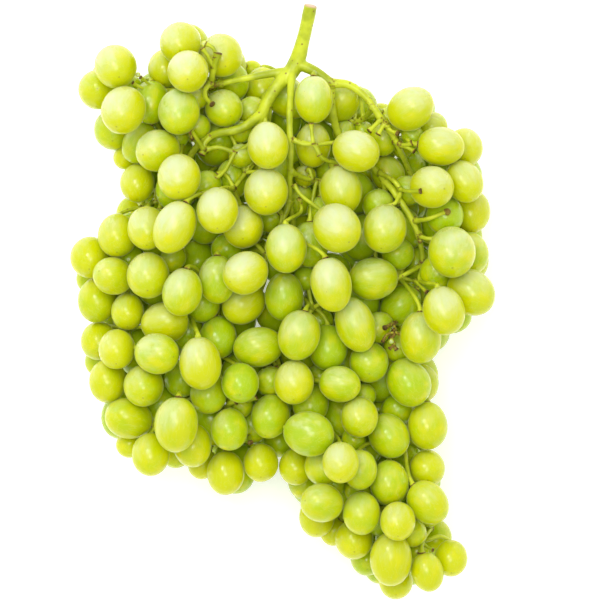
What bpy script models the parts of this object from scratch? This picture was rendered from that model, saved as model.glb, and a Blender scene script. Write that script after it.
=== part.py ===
"""A bunch of white grapes lying on its back: one forked stalk, and a spray of berries on each lateral of it.

Lengths are in millimetres up to closed_object, which makes them metres.
"""
import math

import bmesh
import bpy
import numpy as np
from mathutils import Matrix, Vector

MM = 0.001
SEED = 7
GAP = 0.3

# Where the arms of the stalk run, and how thick they are: (x, y, z, radius) at each point.
# The crown, where the stalk forks, is at x = y = 0. +Y points up the stalk to its cut end, and the
# surface below is at z = 0.
ARMS = {
    "rachis": (
        (8, 28.5, 62, 3.0), (4.6, 13.5, 58, 3.1), (0.5, 1, 55, 3.8), (-8, -9, 57, 3.1), (-14, -21, 57, 2.6),
        (-16, -41, 48, 2.3), (-12, -68, 38, 2.0), (-1, -99, 36, 1.8), (14, -135, 34, 1.6),
        (30, -166, 32, 1.4), (41, -192, 29, 1.2), (47, -206, 26, 1.0)),
    "left_arm": (
        (-13, -19, 57, 2.4), (-23, -26.5, 59, 2.1), (-37, -30, 56, 1.7), (-47, -40, 45, 1.6),
        (-54.5, -67, 38, 1.5), (-57.5, -101, 35, 1.4), (-54, -131, 33, 1.2), (-47, -152, 30, 1.0)),
    "wing_arm": (
        (-1.5, -1, 55, 2.4), (-8, -1.5, 55.5, 1.9), (-21, -4, 56, 1.5), (-37, -7, 52, 1.4),
        (-54, -9, 43, 1.2), (-67, -10, 37, 1.0)),
    "centre_arm": (
        (-0.5, -2, 57, 2.0), (-1, -12, 63, 1.7), (-1.5, -25, 67, 1.5), (-1, -38, 66, 1.4),
        (-1.5, -53, 60, 1.3), (-0.5, -65, 51, 1.2), (3, -85, 42, 1.0)),
    "right_arm": (
        (1, 3, 55.5, 2.7), (10, -1, 57, 2.4), (17, -6, 58, 2.3), (25, -7, 58, 1.9), (33, -13, 60, 1.7),
        (39.5, -22.5, 60, 1.6), (46, -32, 55, 1.4), (53, -46, 40, 1.2), (58, -57, 34, 1.0)),
    "right_low_arm": (
        (17, -6, 57, 2.0), (17.5, -18, 54, 1.9), (22, -31.5, 50, 1.6), (36, -44, 50, 1.5),
        (46, -56, 56, 1.5), (55, -71, 56, 1.4), (58.5, -87, 50, 1.2), (58, -112, 38, 1.0)),
}

# Each spray: the arm that it grows from, how many of the arm's points along, where its lateral ends, and
# its berries.
SPRAYS = {
    "left_wing_tip": ("wing_arm", 5.0, (-77, -9, 34), 7),
    "left_wing_top": ("wing_arm", 3.3, (-47, 5, 42), 7),
    "left_wing_inner": ("wing_arm", 2.7, (-41, -8, 32), 6),
    "crown_back": ("rachis", 3.6, (-6, -36, 30), 6),
    "left_shoulder_upper": ("left_arm", 2.2, (-60, -28, 38), 7),
    "left_shoulder": ("left_arm", 3.5, (-69, -62, 41), 7),
    "left_side_upper": ("left_arm", 4.3, (-74, -92, 38), 7),
    "left_side_lower": ("left_arm", 5.0, (-75, -117, 42), 7),
    "left_foot_outer": ("left_arm", 6.0, (-71, -142, 30), 6),
    "left_foot": ("left_arm", 7.0, (-51, -151, 48), 7),
    "left_foot_inner": ("left_arm", 6.6, (-28, -164, 30), 8),
    "left_heart_upper": ("left_arm", 3.3, (-34, -60, 38), 8),
    "left_heart": ("left_arm", 4.6, (-30, -100, 50), 9),
    "left_heart_lower": ("left_arm", 5.6, (-36, -127, 44), 8),
    "crown_left": ("rachis", 4.8, (-27, -54, 58), 4),
    "crown_front": ("right_arm", 1.6, (8, -11, 40), 6),
    "centre_upper": ("centre_arm", 4.5, (-12.5, -84, 60), 8),
    "centre_front": ("centre_arm", 6.0, (9, -108, 56), 7),
    "centre_top": ("centre_arm", 3.5, (17, -50, 50), 7),
    "centre_low": ("rachis", 8.2, (-6, -136, 50), 10),
    "centre_right": ("rachis", 7.6, (27, -116, 34), 9),
    "right_top_inner": ("right_arm", 4.4, (24, -24, 36), 6),
    "right_top_outer": ("right_arm", 5.2, (61, -29, 38), 7),
    "right_side_upper": ("right_arm", 8.0, (67, -62, 30), 7),
    "right_heart_upper": ("right_low_arm", 3.5, (38, -66, 36), 7),
    "right_side": ("right_low_arm", 5.2, (72, -80, 40), 6),
    "right_heart": ("right_low_arm", 6.0, (36, -96, 50), 7),
    "right_side_lower": ("right_low_arm", 7.0, (52, -122, 44), 6),
    "tail_left_upper": ("rachis", 8.8, (4, -158, 40), 6),
    "tail_right_upper": ("rachis", 8.5, (44, -144, 32), 7),
    "tail_right": ("rachis", 9.0, (51, -166, 42), 6),
    "tail_left": ("rachis", 9.4, (19, -178, 34), 7),
    "tail_right_low": ("rachis", 9.8, (54, -188, 32), 4),
    "tail_left_low": ("rachis", 10.1, (33, -202, 42), 6),
    "tail_tip": ("rachis", 11.0, (48, -215, 30), 6),
    "tail_tip_right": ("rachis", 10.5, (63, -207, 38), 4),
}

# The berries that show on the front of the bunch: (x, y, z, width, length, lean) of each, with the lean in
# degrees, anticlockwise, from hanging straight down the bunch.
FRONT_BERRIES = (
    # The wing, at the top left.
    (-79.5, 1, 60, 19, 20, 20), (-88, -8.5, 42, 18, 18, 0), (-75.5, -18.5, 66, 20, 22, -20),
    (-80, -27, 36, 18, 19, 0), (-50.5, 11, 52, 19, 19.5, 0), (-47, -1.5, 68, 18.5, 19, 0),
    (-57, -3, 46, 16, 18, 0), (-32, 6, 48, 19, 20, 20), (-52, -20, 58, 19, 21.5, 0),
    (-64, -16, 44, 17, 20, 0), (-30, -20.5, 46, 18.5, 19.5, 40), (-13.5, -8, 34, 17, 20, 0),
    (-27, -6, 29, 15, 18, 0),
    # Between the left arm and the centre arm.
    (-55.5, -36.5, 58, 19, 20.5, -72), (-53.5, -48.5, 74, 19.5, 21, 0), (-69, -33, 42, 16, 20, -30),
    (-70, -49, 44, 16, 18, 0), (-13, -35, 72, 18.5, 21.5, 6), (-12.5, -55, 70, 20, 21.5, 0),
    (-26, -47, 48, 15, 19, 0), (-4, -24, 40, 15, 18, 0), (-3, -12, 36, 14, 17, 0),
    (-40, -43, 34, 14, 17, 0),
    # The top right.
    (9, -13.5, 64, 17, 21.5, 0), (9, -34, 55, 16, 20, 0), (30, -19, 46, 17, 19.5, 0),
    (52, -19.5, 60, 19, 22, 125), (66.5, -35, 60, 17.5, 21.5, 85), (77, -36, 48, 17, 18, 0),
    (28, -37, 70, 18.5, 21.5, 70), (20.5, -55, 66, 19, 22.5, 10), (20, -71, 76, 21, 23, 40),
    (41, -71.5, 68, 19.5, 22, -10), (62, -53, 66, 19, 20, 80), (42, -33, 44, 14, 17, 0),
    (45, -44, 42, 16.5, 20, 25), (55, -44, 40, 15, 17, 0), (76, -50, 50, 17, 20, 30),
    (79.5, -64.5, 46, 17.5, 20, 0), (69, -65, 54, 17, 18, 0), (71, -82, 68, 21.5, 23, 0),
    (79, -82, 48, 18, 20, 0), (79.5, -99.5, 56, 20, 23, 50),
    # The middle.
    (-52, -70, 68, 18.5, 25, -25), (-34.5, -64.5, 76, 19, 21, 0), (-21, -72, 58, 18.5, 19.5, 0),
    (-2.5, -80.5, 70, 18.5, 22, 0), (8, -79, 52, 17, 21, 0), (-21.5, -91.5, 74, 19, 21, -60),
    (-23, -105, 62, 18, 21, -50), (-35, -94.5, 56, 17, 22, 0), (-49, -99.5, 74, 18, 22, -12),
    (-43, -84, 48, 16, 18, 0), (-4, -102, 60, 17.5, 22, 0), (17.5, -98, 74, 18.5, 25, 12),
    (36, -94, 62, 19, 22.5, -85), (48, -104, 52, 17, 21, -45), (27.5, -115, 64, 18, 26, 20),
    (3, -120, 66, 19, 23, -15), (15.5, -126, 54, 18, 21, 0), (33, -130, 50, 18, 19, 0),
    (66.5, -109, 66, 19, 22.5, 15), (57, -122, 58, 19, 24, 0), (52, -139, 48, 19.5, 23, 30),
    (57, -142, 45, 17, 18, 0), (58, -160, 56, 18.5, 22, 0), (-16, -125, 62, 18, 23, -80),
    (-33, -119.5, 54, 17, 19.5, 0), (-23.5, -140, 62, 17, 18, 0), (0.5, -139.5, 68, 18, 20, 0),
    (21, -141, 60, 16.5, 19, 80), (8, -150, 58, 16.5, 18, 0), (28.5, -156, 62, 17, 18.5, 0),
    # The left side and its foot.
    (-64, -72.5, 58, 18, 20, 0), (-77, -74.5, 50, 18, 20, 0), (-73, -63, 34, 15, 17, 0),
    (-90, -84, 42, 18, 19, 0), (-64, -92, 68, 19.5, 21, 0), (-80, -92.5, 56, 17, 18.5, 70),
    (-86.5, -104.5, 46, 18, 21, 0), (-72.5, -110.5, 44, 16, 18, 0), (-59.5, -112, 68, 19, 22, -80),
    (-86.5, -121, 44, 17, 18, 0), (-77, -125, 56, 16.5, 18, 0), (-61, -127, 64, 18.5, 20.5, 80),
    (-42, -131.5, 74, 19, 24, 5), (-47, -118, 46, 15, 18, 0), (-83.5, -140.5, 48, 17, 20, 0),
    (-67, -142, 60, 18, 19, 0), (-52, -159, 74, 19.5, 25, -5), (-74, -156, 54, 18.5, 22, 75),
    (-64, -172.5, 58, 17, 19.5, 0), (-53, -171, 40, 15, 17, 0), (-45, -168.5, 60, 17, 20, 0),
    (-36.5, -147, 58, 17, 19, 0), (-50, -139, 50, 15, 17, 0), (-29.5, -159.5, 60, 17, 19.5, 0),
    (-30.5, -179.5, 54, 17, 20, 0), (-15, -177, 50, 16, 17.5, 0), (-9.5, -156, 60, 17.5, 20, -15),
    (-6, -166, 44, 15, 17, 0),
    # The tail.
    (7, -163, 68, 20, 23, 75), (43, -166.5, 44, 18.5, 21.5, 30), (22.5, -174, 72, 16.5, 18.5, 0),
    (32.5, -179.5, 66, 16, 18.5, 0), (12.5, -178.5, 58, 16, 17.5, 0), (1.5, -178, 48, 15.5, 17, 0),
    (13.5, -193.5, 64, 17.5, 19.5, 80), (11.5, -201.5, 48, 16, 18, 0), (5, -185.5, 40, 15, 16, 0),
    (30.5, -198.5, 66, 17, 19.5, 0), (43, -185.5, 44, 18, 21, 0), (51, -175, 36, 16, 17, 0),
    (58, -179, 42, 16, 17, 0), (59.5, -193.5, 54, 18, 21.5, 40), (46.5, -202, 64, 16, 17.5, 0),
    (27.5, -211, 52, 17, 18, 0), (33.5, -220, 38, 15, 16, 0), (44, -219, 62, 19, 24.5, 0),
    (46.5, -230, 42, 15.5, 17, 0), (60.5, -225.5, 54, 14.5, 18, 15), (71, -220, 48, 15, 16.5, 0),
    (64, -211, 34, 15, 17, 0),
)

# The outline of the whole bunch seen from above, which the packed berries fill and don't pass.
OUTLINE = (
    (-50, 22), (-58, 15), (-66, -1), (-74, 9), (-88, 8), (-97, -8), (-92, -24), (-84, -36), (-77, -48),
    (-82, -68), (-98, -80), (-97, -112), (-92, -142), (-86, -162), (-70, -181), (-54, -178),
    (-42, -183), (-28, -191), (-8, -184), (-3, -190), (1, -203), (8, -211), (19, -215), (26, -224),
    (44, -239), (62, -233), (80, -222), (69, -202), (66, -170), (66, -130), (78, -116), (92, -104),
    (88, -80), (88, -58), (84, -34), (70, -29), (65, -12), (54, -8), (42, -15), (34, -9), (20, -4),
    (0, -4), (-20, 8), (-34, 17),
)

# The berries.
ROUNDNESS = 1.2  # a berry's length over its width
BERRY_WIDTH = 19.0
TAIL_SHARE = 0.92
SIZE_SPREAD = 0.09
SHAPE_SPREAD = 0.06
BERRY_GAP = 0.1
HANG = 1.1  # how much a berry hangs down the bunch, against pointing away from its pedicel's root
TILT = 0.35
SWAPPED_LEAN = 60  # past this lean either end of a front berry may be the one at the pedicel

# The pedicels and the twigs that they grow from, along each lateral.
PEDICEL_RADIUS = 0.6
PEDICEL_SHORTEST = 4.0
PEDICEL_LONGEST = 10.0
PEDICEL_SUNK = 2.5
PEDICEL_FLARE = 1.2
TOP_REACH = 6.0
BERRIES_A_TWIG = 2.6
FEWEST_INNER = 2
TWIG_STEPS = 9
FIRST_REACH = 17.0
BEHIND = 0.5
BARE_LATERAL = 14.0
LATEST_TWIG = 0.55
LAST_TWIG = 0.97
TWIG_FAN = 1.15
TIP_FAN = 2.1
TWIG_FORWARD = 0.25
TIP_FORWARD = 0.9
FORWARD_SPREAD = 0.2
SPRAY_TURN = 0.37
GOLDEN_ANGLE = math.radians(137.508)

# The laterals, and the spurs of the stalk that they continue.
LATERAL_RADIUS = 1.1
LATERAL_THINNING = 0.8
LATERAL_POINTS = 9
LATERAL_SIDES = 4
LEAN = 0.4
BEND_SHARE = 0.45
HEADING_SPAN = 0.15
SPUR_RADIUS = 1.35
SPUR_SHORTEST = 2.5
SPUR_STEP = 0.5
SPUR_SIDES = 4
ARM_STEPS = 6

# How the berries are packed: the shares of an overlap that one round undoes, and the weak pulls between them.
PACKING_ROUNDS = 420
PAIRS_LAST = 6
NEAR_BERRY = 42.0
NEAR_STEM = 34.0
LONGEST_STEP = 2.0
BERRY_PUSH = 0.42
STEM_PUSH = 0.5
OUTLINE_PUSH = 0.5
PEDICEL_PUSH = 0.35
OWNER_PUSH = 0.2
THIN_PUSH = 0.8
PEDICEL_PULL = 0.35
PEDICEL_SHORTENING = 0.15
SETTLING = 0.1
INNER_TOP = 46.0
INNER_PULL = 0.3
HELD_SOFTNESS = 0.4
HOLD = np.array((0.3, 0.3, 0.06))
LEAST_HOLD = 0.12
FLOOR_SINK = 1.0
SETTLED_BELOW = 3.5
SETTLED_SINK = 1.3
PLACES = 6

# Berries this deep inside the bunch, and between these heights, are left out of the model.
BURIED_DEPTH = 17.0
BURIED_LOW = 24.0
BURIED_HIGH = 52.0

# How finely the pieces are made.
BERRY_SEGMENTS = 7
BERRY_RINGS = 4
STALK_SIDES = 8
STALK_EVERY = 2
ARM_SIDES = 6
ARM_EVERY = 3
PEDICEL_SIDES = 3
SMOOTH_UP_TO = 50  # degrees
SOLVER = "MANIFOLD"

DOWN_THE_BUNCH = np.array((0.0, -1.0, 0.0))
UP = np.array((0.0, 0.0, 1.0))


def dot(a, b):
    return (a * b).sum(axis=-1)


def length(v):
    return np.sqrt(dot(v, v))


def unit(v):
    return v / np.maximum(length(v), 1e-9)[..., None]


def split(way):
    """The length of each vector, and its direction."""
    far = np.maximum(length(way), 1e-6)
    return far, way / far[:, None]


def reading(path, stations, station):
    """The point of a path at a station along it."""
    return np.array([np.interp(station, stations, path[:, axis]) for axis in range(path.shape[1])])


def smooth_path(points):
    """A Catmull-Rom curve through the points, with the station of each sample."""
    p = np.array(points, float)
    ends = np.vstack([2 * p[0] - p[1], p, 2 * p[-1] - p[-2]])
    samples, stations = [], []
    for i in range(len(p) - 1):
        a, b, c, d = ends[i:i + 4]
        for step in range(ARM_STEPS):
            t = step / ARM_STEPS
            cubic = (3 * b - a - 3 * c + d) * t ** 3
            samples.append(0.5 * (2 * b + (c - a) * t + (2 * a - 5 * b + 4 * c - d) * t * t + cubic))
            stations.append(i + t)
    samples.append(p[-1])
    stations.append(len(p) - 1.0)
    return np.array(samples), np.array(stations)


def heading(path, stations, station):
    """Which way a path runs at a station along it."""
    low = max(stations[0], station - HEADING_SPAN)
    high = min(stations[-1], station + HEADING_SPAN)
    return unit(reading(path, stations, high)[:3] - reading(path, stations, low)[:3])


def plan_laterals(arms):
    """The curved path of every spray's lateral, leaning along its arm before it bends to its tip."""
    laterals = {}
    t = np.linspace(0, 1, LATERAL_POINTS)[:, None]
    for name, (arm, station, tip, _) in SPRAYS.items():
        path, stations = arms[arm]
        root = reading(path, stations, station)[:3]
        tip = np.array(tip, float)
        lean = unit(unit(tip - root) + LEAN * heading(path, stations, station))
        bend = root + lean * length(tip - root) * BEND_SHARE
        laterals[name] = (1 - t) ** 2 * root + 2 * t * (1 - t) * bend + t ** 2 * tip
    return laterals


def first_twig(path):
    """The station of a lateral's first twig, past its bare start."""
    return min(LATEST_TWIG, BARE_LATERAL / float(length(path[-1] - path[0])))


def front_berry(x, y, z, width, long, lean):
    """A front berry's place, half width, half length and axis, tilted to the front where it looks round."""
    full = max(long, width * ROUNDNESS)
    level = math.sqrt((long ** 2 - width ** 2) / (full ** 2 - width ** 2))
    lean = math.radians(lean)
    axis = np.array((math.sin(lean) * level, -math.cos(lean) * level, math.sqrt(1 - level ** 2)))
    return np.array((x, y, z), float), width / 2, full / 2, axis


def nearest_twig(laterals, place):
    """The least distance from a place to a lateral, that lateral's spray, and the point of it there."""
    stations = np.linspace(0, 1, LATERAL_POINTS)
    options = []
    for k, path in enumerate(laterals.values()):
        for t in np.linspace(first_twig(path), LAST_TWIG, TWIG_STEPS):
            point = reading(path, stations, t)
            options.append((float(length(point - place)), k, point))
    return min(options, key=lambda option: option[0])


def plan_front(laterals):
    """Each front berry's spray, pedicel's root, place, half width, half length and axis."""
    berries = []
    for row in FRONT_BERRIES:
        place, half_width, half_length, axis = front_berry(*row)
        ways = [axis, axis * (-1, -1, 1)] if abs(row[-1]) > SWAPPED_LEAN else [axis]
        options = [(*nearest_twig(laterals, place - way * (half_length + TOP_REACH)), way) for way in ways]
        _, k, root, axis = min(options, key=lambda option: option[0])
        berries.append((k, root, place, half_width, half_length, axis))
    return berries


def twig_fan(along, turn, forward):
    """The way of a berry from its twig: turned round the lateral, and forward along it."""
    side = unit(np.cross(along, UP))
    over = np.cross(along, side)
    return unit(side * math.cos(turn) + over * math.sin(turn) + along * forward)


def plan_inner(laterals, taken):
    """The rest of each spray's berries, set in turn round the twigs of its lateral."""
    rng = np.random.default_rng(SEED)
    stations = np.linspace(0, 1, LATERAL_POINTS)
    berries = []
    for k, (name, (_, _, _, total)) in enumerate(SPRAYS.items()):
        path = laterals[name]
        count = max(FEWEST_INNER, total - taken.count(k))
        twigs = max(2, round(count / BERRIES_A_TWIG))
        for twig in range(twigs):
            members = count // twigs + (twig >= twigs - count % twigs)
            t = first_twig(path) + (LAST_TWIG - first_twig(path)) * twig / (twigs - 1)
            root = reading(path, stations, t)
            along = heading(path, stations, t)
            last = twig == twigs - 1
            for m in range(members):
                fan = (m - (members - 1) / 2) * (TIP_FAN if last else TWIG_FAN)
                forward = TIP_FORWARD if last else TWIG_FORWARD
                forward += rng.uniform(-FORWARD_SPREAD, FORWARD_SPREAD)
                way = twig_fan(along, GOLDEN_ANGLE * (twig + k * SPRAY_TURN) + fan, forward)
                width = BERRY_WIDTH * rng.uniform(1 - SIZE_SPREAD, 1 + SIZE_SPREAD)
                width *= TAIL_SHARE if name.startswith("tail") else 1.0
                long = width * ROUNDNESS * rng.uniform(1 - SHAPE_SPREAD, 1 + SHAPE_SPREAD)
                place = root + (way - UP * BEHIND) * FIRST_REACH
                berries.append((k, root, place, width / 2, long / 2, unit(rng.normal(size=3))))
    return berries


def plan_berries(laterals):
    """Every berry's spray, pedicel's root, first place, half width, half length and axis or tilt."""
    front = plan_front(laterals)
    inner = plan_inner(laterals, [row[0] for row in front])
    return [np.array(column) for column in zip(*front, *inner)]


def stem_pieces(arms, laterals):
    """Straight lengths of every arm and lateral: both ends, the radius, and the spray or -1 for an arm."""
    rows = []
    for path, _ in arms.values():
        for i in range(0, len(path) - 1, 2):
            j = min(i + 2, len(path) - 1)
            rows.append((path[i, :3], path[j, :3], max(path[i, 3], path[j, 3]), -1))
    for k, path in enumerate(laterals.values()):
        for i in range(0, LATERAL_POINTS - 1, 2):
            rows.append((path[i], path[i + 2], LATERAL_RADIUS, k))
    return [np.array(column) for column in zip(*rows)]


def nearest_on(point, start, end):
    """The nearest place to each point on a straight length of its own."""
    along = end - start
    t = np.clip(dot(point - start, along) / np.maximum(dot(along, along), 1e-9), 0, 1)
    return start + t[..., None] * along


def gap_between(p0, p1, q0, q1):
    """The shortest way from each second straight length to its first, and how far along the first it is."""
    d1, d2, r = p1 - p0, q1 - q0, p0 - q0
    a, e, b = dot(d1, d1), dot(d2, d2), dot(d1, d2)
    c, f = dot(d1, r), dot(d2, r)
    s = np.clip((b * f - c * e) / np.maximum(a * e - b * b, 1e-9), 0, 1)
    t = np.clip((b * s + f) / np.maximum(e, 1e-9), 0, 1)
    s = np.clip((b * t - c) / np.maximum(a, 1e-9), 0, 1)
    return (p0 + s[:, None] * d1) - (q0 + t[:, None] * d2), s


def reach(a, c, axis, way):
    """How far an oval berry's skin reaches from its centre in a direction."""
    return np.sqrt(a ** 2 + (c ** 2 - a ** 2) * dot(axis, way) ** 2)


def depth_inside(xy):
    """How far each point is inside the bunch's outline, and the way further in."""
    start = np.array(OUTLINE, float)
    edge = np.roll(start, -1, axis=0) - start
    away = xy[:, None] - nearest_on(xy[:, None], start[None], (start + edge)[None])
    distance = length(away)
    nearest = distance.argmin(axis=1)
    rows = np.arange(len(xy))
    low, high = start[None, :, 1], start[None, :, 1] + edge[None, :, 1]
    spans = (low > xy[:, None, 1]) != (high > xy[:, None, 1])
    rise = np.where(np.abs(high - low) < 1e-9, 1e-9, high - low)
    cut = start[None, :, 0] + (xy[:, None, 1] - low) / rise * edge[None, :, 0]
    within = (spans & (cut > xy[:, None, 0])).sum(axis=1) % 2 == 1
    sign = np.where(within, 1.0, -1.0)
    depth = distance[rows, nearest]
    return depth * sign, away[rows, nearest] / np.maximum(depth, 1e-6)[:, None] * sign[:, None]


def axes_of(p, root, tilt):
    """A front berry keeps its axis. Another's points away from its pedicel's root, hangs down and tilts."""
    axis = unit(unit(p - root) + HANG * DOWN_THE_BUNCH + TILT * tilt)
    axis[:len(FRONT_BERRIES)] = tilt[:len(FRONT_BERRIES)]
    return axis


def close_pairs(p, q, within):
    """Which points of p are close to which points of q."""
    return np.nonzero(length(p[:, None] - q[None]) < within)


def neighbours(spray, p, stems):
    """The pairs of berries, and of a berry and a stem, that are close enough to touch soon."""
    start, end, _, owner = stems
    i, j = close_pairs(p, p, NEAR_BERRY)
    i, j = i[i != j], j[i != j]
    b, s = close_pairs(p, (start + end) / 2, NEAR_STEM)
    return i, j, spray[i] != spray[j], b, s, owner[s] != spray[b]


def push_apart(move, near, berries, stems):
    """Moves berries and their pedicels off each other and off the stems."""
    i, j, apart_sprays, b, s, foreign = near
    root, p, a, c, axis = berries
    start, end, radius, _ = stems
    top = p - axis * c[:, None]

    far, way = split(p[i] - p[j])
    room = reach(a[i], c[i], axis[i], way) + reach(a[j], c[j], axis[j], way)
    np.add.at(move, i, way * (np.maximum(room + BERRY_GAP - far, 0) * BERRY_PUSH)[:, None])

    far, way = split(p[b] - nearest_on(p[b], start[s], end[s]))
    room = reach(a[b], c[b], axis[b], way) + radius[s] + 2 * GAP
    np.add.at(move, b, way * (np.maximum(room - far, 0) * STEM_PUSH)[:, None])

    far, way = split(p[i] - nearest_on(p[i], root[j], top[j]))
    push = np.maximum(reach(a[i], c[i], axis[i], way) + PEDICEL_RADIUS + 2 * GAP - far, 0)[:, None]
    np.add.at(move, i, way * push * PEDICEL_PUSH)
    np.add.at(move, j, -way * push * OWNER_PUSH)

    way, share = gap_between(root[i], top[i], root[j], top[j])
    far, way = split(way)
    push = np.maximum(2 * PEDICEL_RADIUS + 2 * GAP - far, 0) * share * apart_sprays * THIN_PUSH
    np.add.at(move, i, way * push[:, None])

    way, share = gap_between(root[b], top[b], start[s], end[s])
    far, way = split(way)
    push = np.maximum(PEDICEL_RADIUS + radius[s] + 2 * GAP - far, 0) * share * foreign * THIN_PUSH
    np.add.at(move, b, way * push[:, None])


def pack(arms, laterals, berries):
    """Moves the berries until they touch but don't cross each other, the stems or the floor."""
    spray, root, p, a, c, tilt = berries
    stems = stem_pieces(arms, laterals)
    held = slice(0, len(FRONT_BERRIES))
    home = p[held].copy()
    for turn in range(PACKING_ROUNDS):
        if turn % PAIRS_LAST == 0:
            near = neighbours(spray, p, stems)
        calm = 1 - turn / PACKING_ROUNDS
        axis = axes_of(p, root, tilt)
        far, away = split(p - root)
        wanted = np.clip(far, c + PEDICEL_SHORTEST, c + PEDICEL_LONGEST)
        shorten = PEDICEL_SHORTENING * calm * (far > c + PEDICEL_SHORTEST)
        move = away * ((wanted - far) * PEDICEL_PULL - shorten)[:, None]
        move[:, 2] -= SETTLING
        move[held] = 0
        push_apart(move, near, (root, p, a, c, axis), stems)

        move[held, :2] *= HELD_SOFTNESS
        move[held] += (home - p[held]) * HOLD * max(calm, LEAST_HOLD)
        depth, inward = depth_inside(p[:, :2])
        outside = np.maximum(reach(a, c, axis[:, :2], inward) - depth, 0) * OUTLINE_PUSH
        outside[held] = 0
        move[:, :2] += inward * outside[:, None]
        raised = np.clip(p[:, 2] - INNER_TOP, 0, LONGEST_STEP) * INNER_PULL
        raised[held] = 0
        move[:, 2] -= raised
        lowest = p[:, 2] - reach(a, c, axis, UP)
        move[:, 2] += np.maximum(-FLOOR_SINK - lowest, 0)

        stride = np.maximum(length(move), 1e-9)
        p = np.round(p + move * np.minimum(1, LONGEST_STEP / stride)[:, None], PLACES)
    axis = axes_of(p, root, tilt)
    lowest = p[:, 2] - reach(a, c, axis, UP)
    p[:, 2] -= np.where(lowest < SETTLED_BELOW, lowest + SETTLED_SINK, 0)
    return spray, root, p, a, c, axis


def ease(arms, laterals, packed):
    """Makes a berry a little smaller where it would still touch another berry or a stem."""
    spray, root, p, a, c, axis = packed
    stems = stem_pieces(arms, laterals)
    start, end, radius, _ = stems
    i, j, apart_sprays, b, s, _ = neighbours(spray, p, stems)
    top = p - axis * c[:, None]
    excess = np.zeros(len(p))
    far, way = split(p[i] - p[j])
    room = reach(a[i], c[i], axis[i], way) + reach(a[j], c[j], axis[j], way)
    np.maximum.at(excess, i, (room + BERRY_GAP - far) / 2)
    far, way = split(p[i] - nearest_on(p[i], root[j], top[j]))
    room = reach(a[i], c[i], axis[i], way) + PEDICEL_RADIUS + GAP - far
    np.maximum.at(excess, i, room * apart_sprays)
    far, way = split(p[b] - nearest_on(p[b], start[s], end[s]))
    np.maximum.at(excess, b, reach(a[b], c[b], axis[b], way) + radius[s] + GAP - far)
    share = 1 - excess / a
    return spray, root, p, a * share, c * share, axis


def is_buried(p):
    """Which berries lie deep inside the bunch, with others over them on every side."""
    depth, _ = depth_inside(p[:, :2])
    return (depth > BURIED_DEPTH) & (p[:, 2] > BURIED_LOW) & (p[:, 2] < BURIED_HIGH)


def ground_shift(arms, packed):
    """The shift that puts the middle of the bunch's footprint at the origin."""
    _, _, p, a, c, axis = packed
    out = np.stack([reach(a, c, axis, way) for way in np.eye(3)[:2]], axis=1)
    stems = np.vstack([path[:, :2] for path, _ in arms.values()])
    low = np.minimum((p[:, :2] - out).min(axis=0), stems.min(axis=0))
    high = np.maximum((p[:, :2] + out).max(axis=0), stems.max(axis=0))
    return -np.array((*(low + high) / 2, 0.0))


def clear_scene():
    for obj in list(bpy.data.objects):
        bpy.data.objects.remove(obj, do_unlink=True)


def principled(name, colour, roughness, specular):
    material = bpy.data.materials.new(name)
    material.use_nodes = True
    shader = material.node_tree.nodes["Principled BSDF"]
    shader.inputs["Base Color"].default_value = (*colour, 1.0)
    shader.inputs["Roughness"].default_value = roughness
    shader.inputs["Metallic"].default_value = 0.0
    shader.inputs["Specular IOR Level"].default_value = specular
    material.diffuse_color = (*colour, 1.0)
    return material


def frames_along(points):
    """A frame at each point of a path, its Z along the path, turned as little as possible between two."""
    points = [Vector(point) for point in points]
    ways = [(after - before).normalized() for before, after in zip(points, points[1:])]
    ways = [ways[0]] + [(a + b).normalized() for a, b in zip(ways, ways[1:])] + [ways[-1]]
    turn = Vector(UP).rotation_difference(ways[0])
    frames = []
    for i, (point, way) in enumerate(zip(points, ways)):
        if i:
            turn = ways[i - 1].rotation_difference(way) @ turn
        frames.append(Matrix.Translation(point) @ turn.to_matrix().to_4x4())
    return frames


def add_tube(bm, points, radii, sides):
    """A closed tube through the points: a capped circle, extruded from each frame to the next."""
    frames = frames_along(points)
    ring = bmesh.ops.create_circle(bm, cap_ends=True, segments=sides, radius=radii[0], matrix=frames[0])
    face = ring["verts"][0].link_faces[0]
    for i in range(1, len(frames)):
        grown = bmesh.ops.extrude_face_region(bm, geom=[face])["geom"]
        verts = [part for part in grown if isinstance(part, bmesh.types.BMVert)]
        if i > 1:
            bmesh.ops.delete(bm, geom=[face], context="FACES_ONLY")
        face = next(part for part in grown if isinstance(part, bmesh.types.BMFace))
        thinner = Matrix.Scale(radii[i] / radii[i - 1], 4)
        step = frames[i] @ thinner @ frames[i - 1].inverted()
        bmesh.ops.transform(bm, matrix=step, verts=verts)


def turned_to(way):
    """The turn from the Z axis to a direction."""
    return Vector(UP).rotation_difference(Vector(way)).to_matrix().to_4x4()


def add_pedicel(bm, base, end):
    """A three-sided pedicel between two points, a little thicker where it meets the berry."""
    way = Vector(end) - Vector(base)
    middle = Matrix.Translation((Vector(base) + Vector(end)) / 2)
    bmesh.ops.create_cone(
        bm, cap_ends=True, segments=PEDICEL_SIDES, radius1=PEDICEL_RADIUS,
        radius2=PEDICEL_RADIUS * PEDICEL_FLARE, depth=way.length, matrix=middle @ turned_to(way))


def add_berry(bm, centre, axis, a, c):
    """An oval berry, cut flat where the surface below it carries it."""
    size = Matrix.Diagonal((a, a, c, 1.0))
    bmesh.ops.create_uvsphere(
        bm, u_segments=BERRY_SEGMENTS, v_segments=BERRY_RINGS, radius=1.0,
        matrix=Matrix.Translation(Vector(centre)) @ turned_to(axis) @ size)
    cut = bmesh.ops.bisect_plane(
        bm, geom=bm.verts[:] + bm.edges[:] + bm.faces[:], dist=1e-6, plane_co=(0, 0, 0),
        plane_no=(0, 0, -1), clear_outer=True)
    rim = [part for part in cut["geom_cut"] if isinstance(part, bmesh.types.BMEdge)]
    if rim:
        bmesh.ops.contextual_create(bm, geom=rim)


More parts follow.
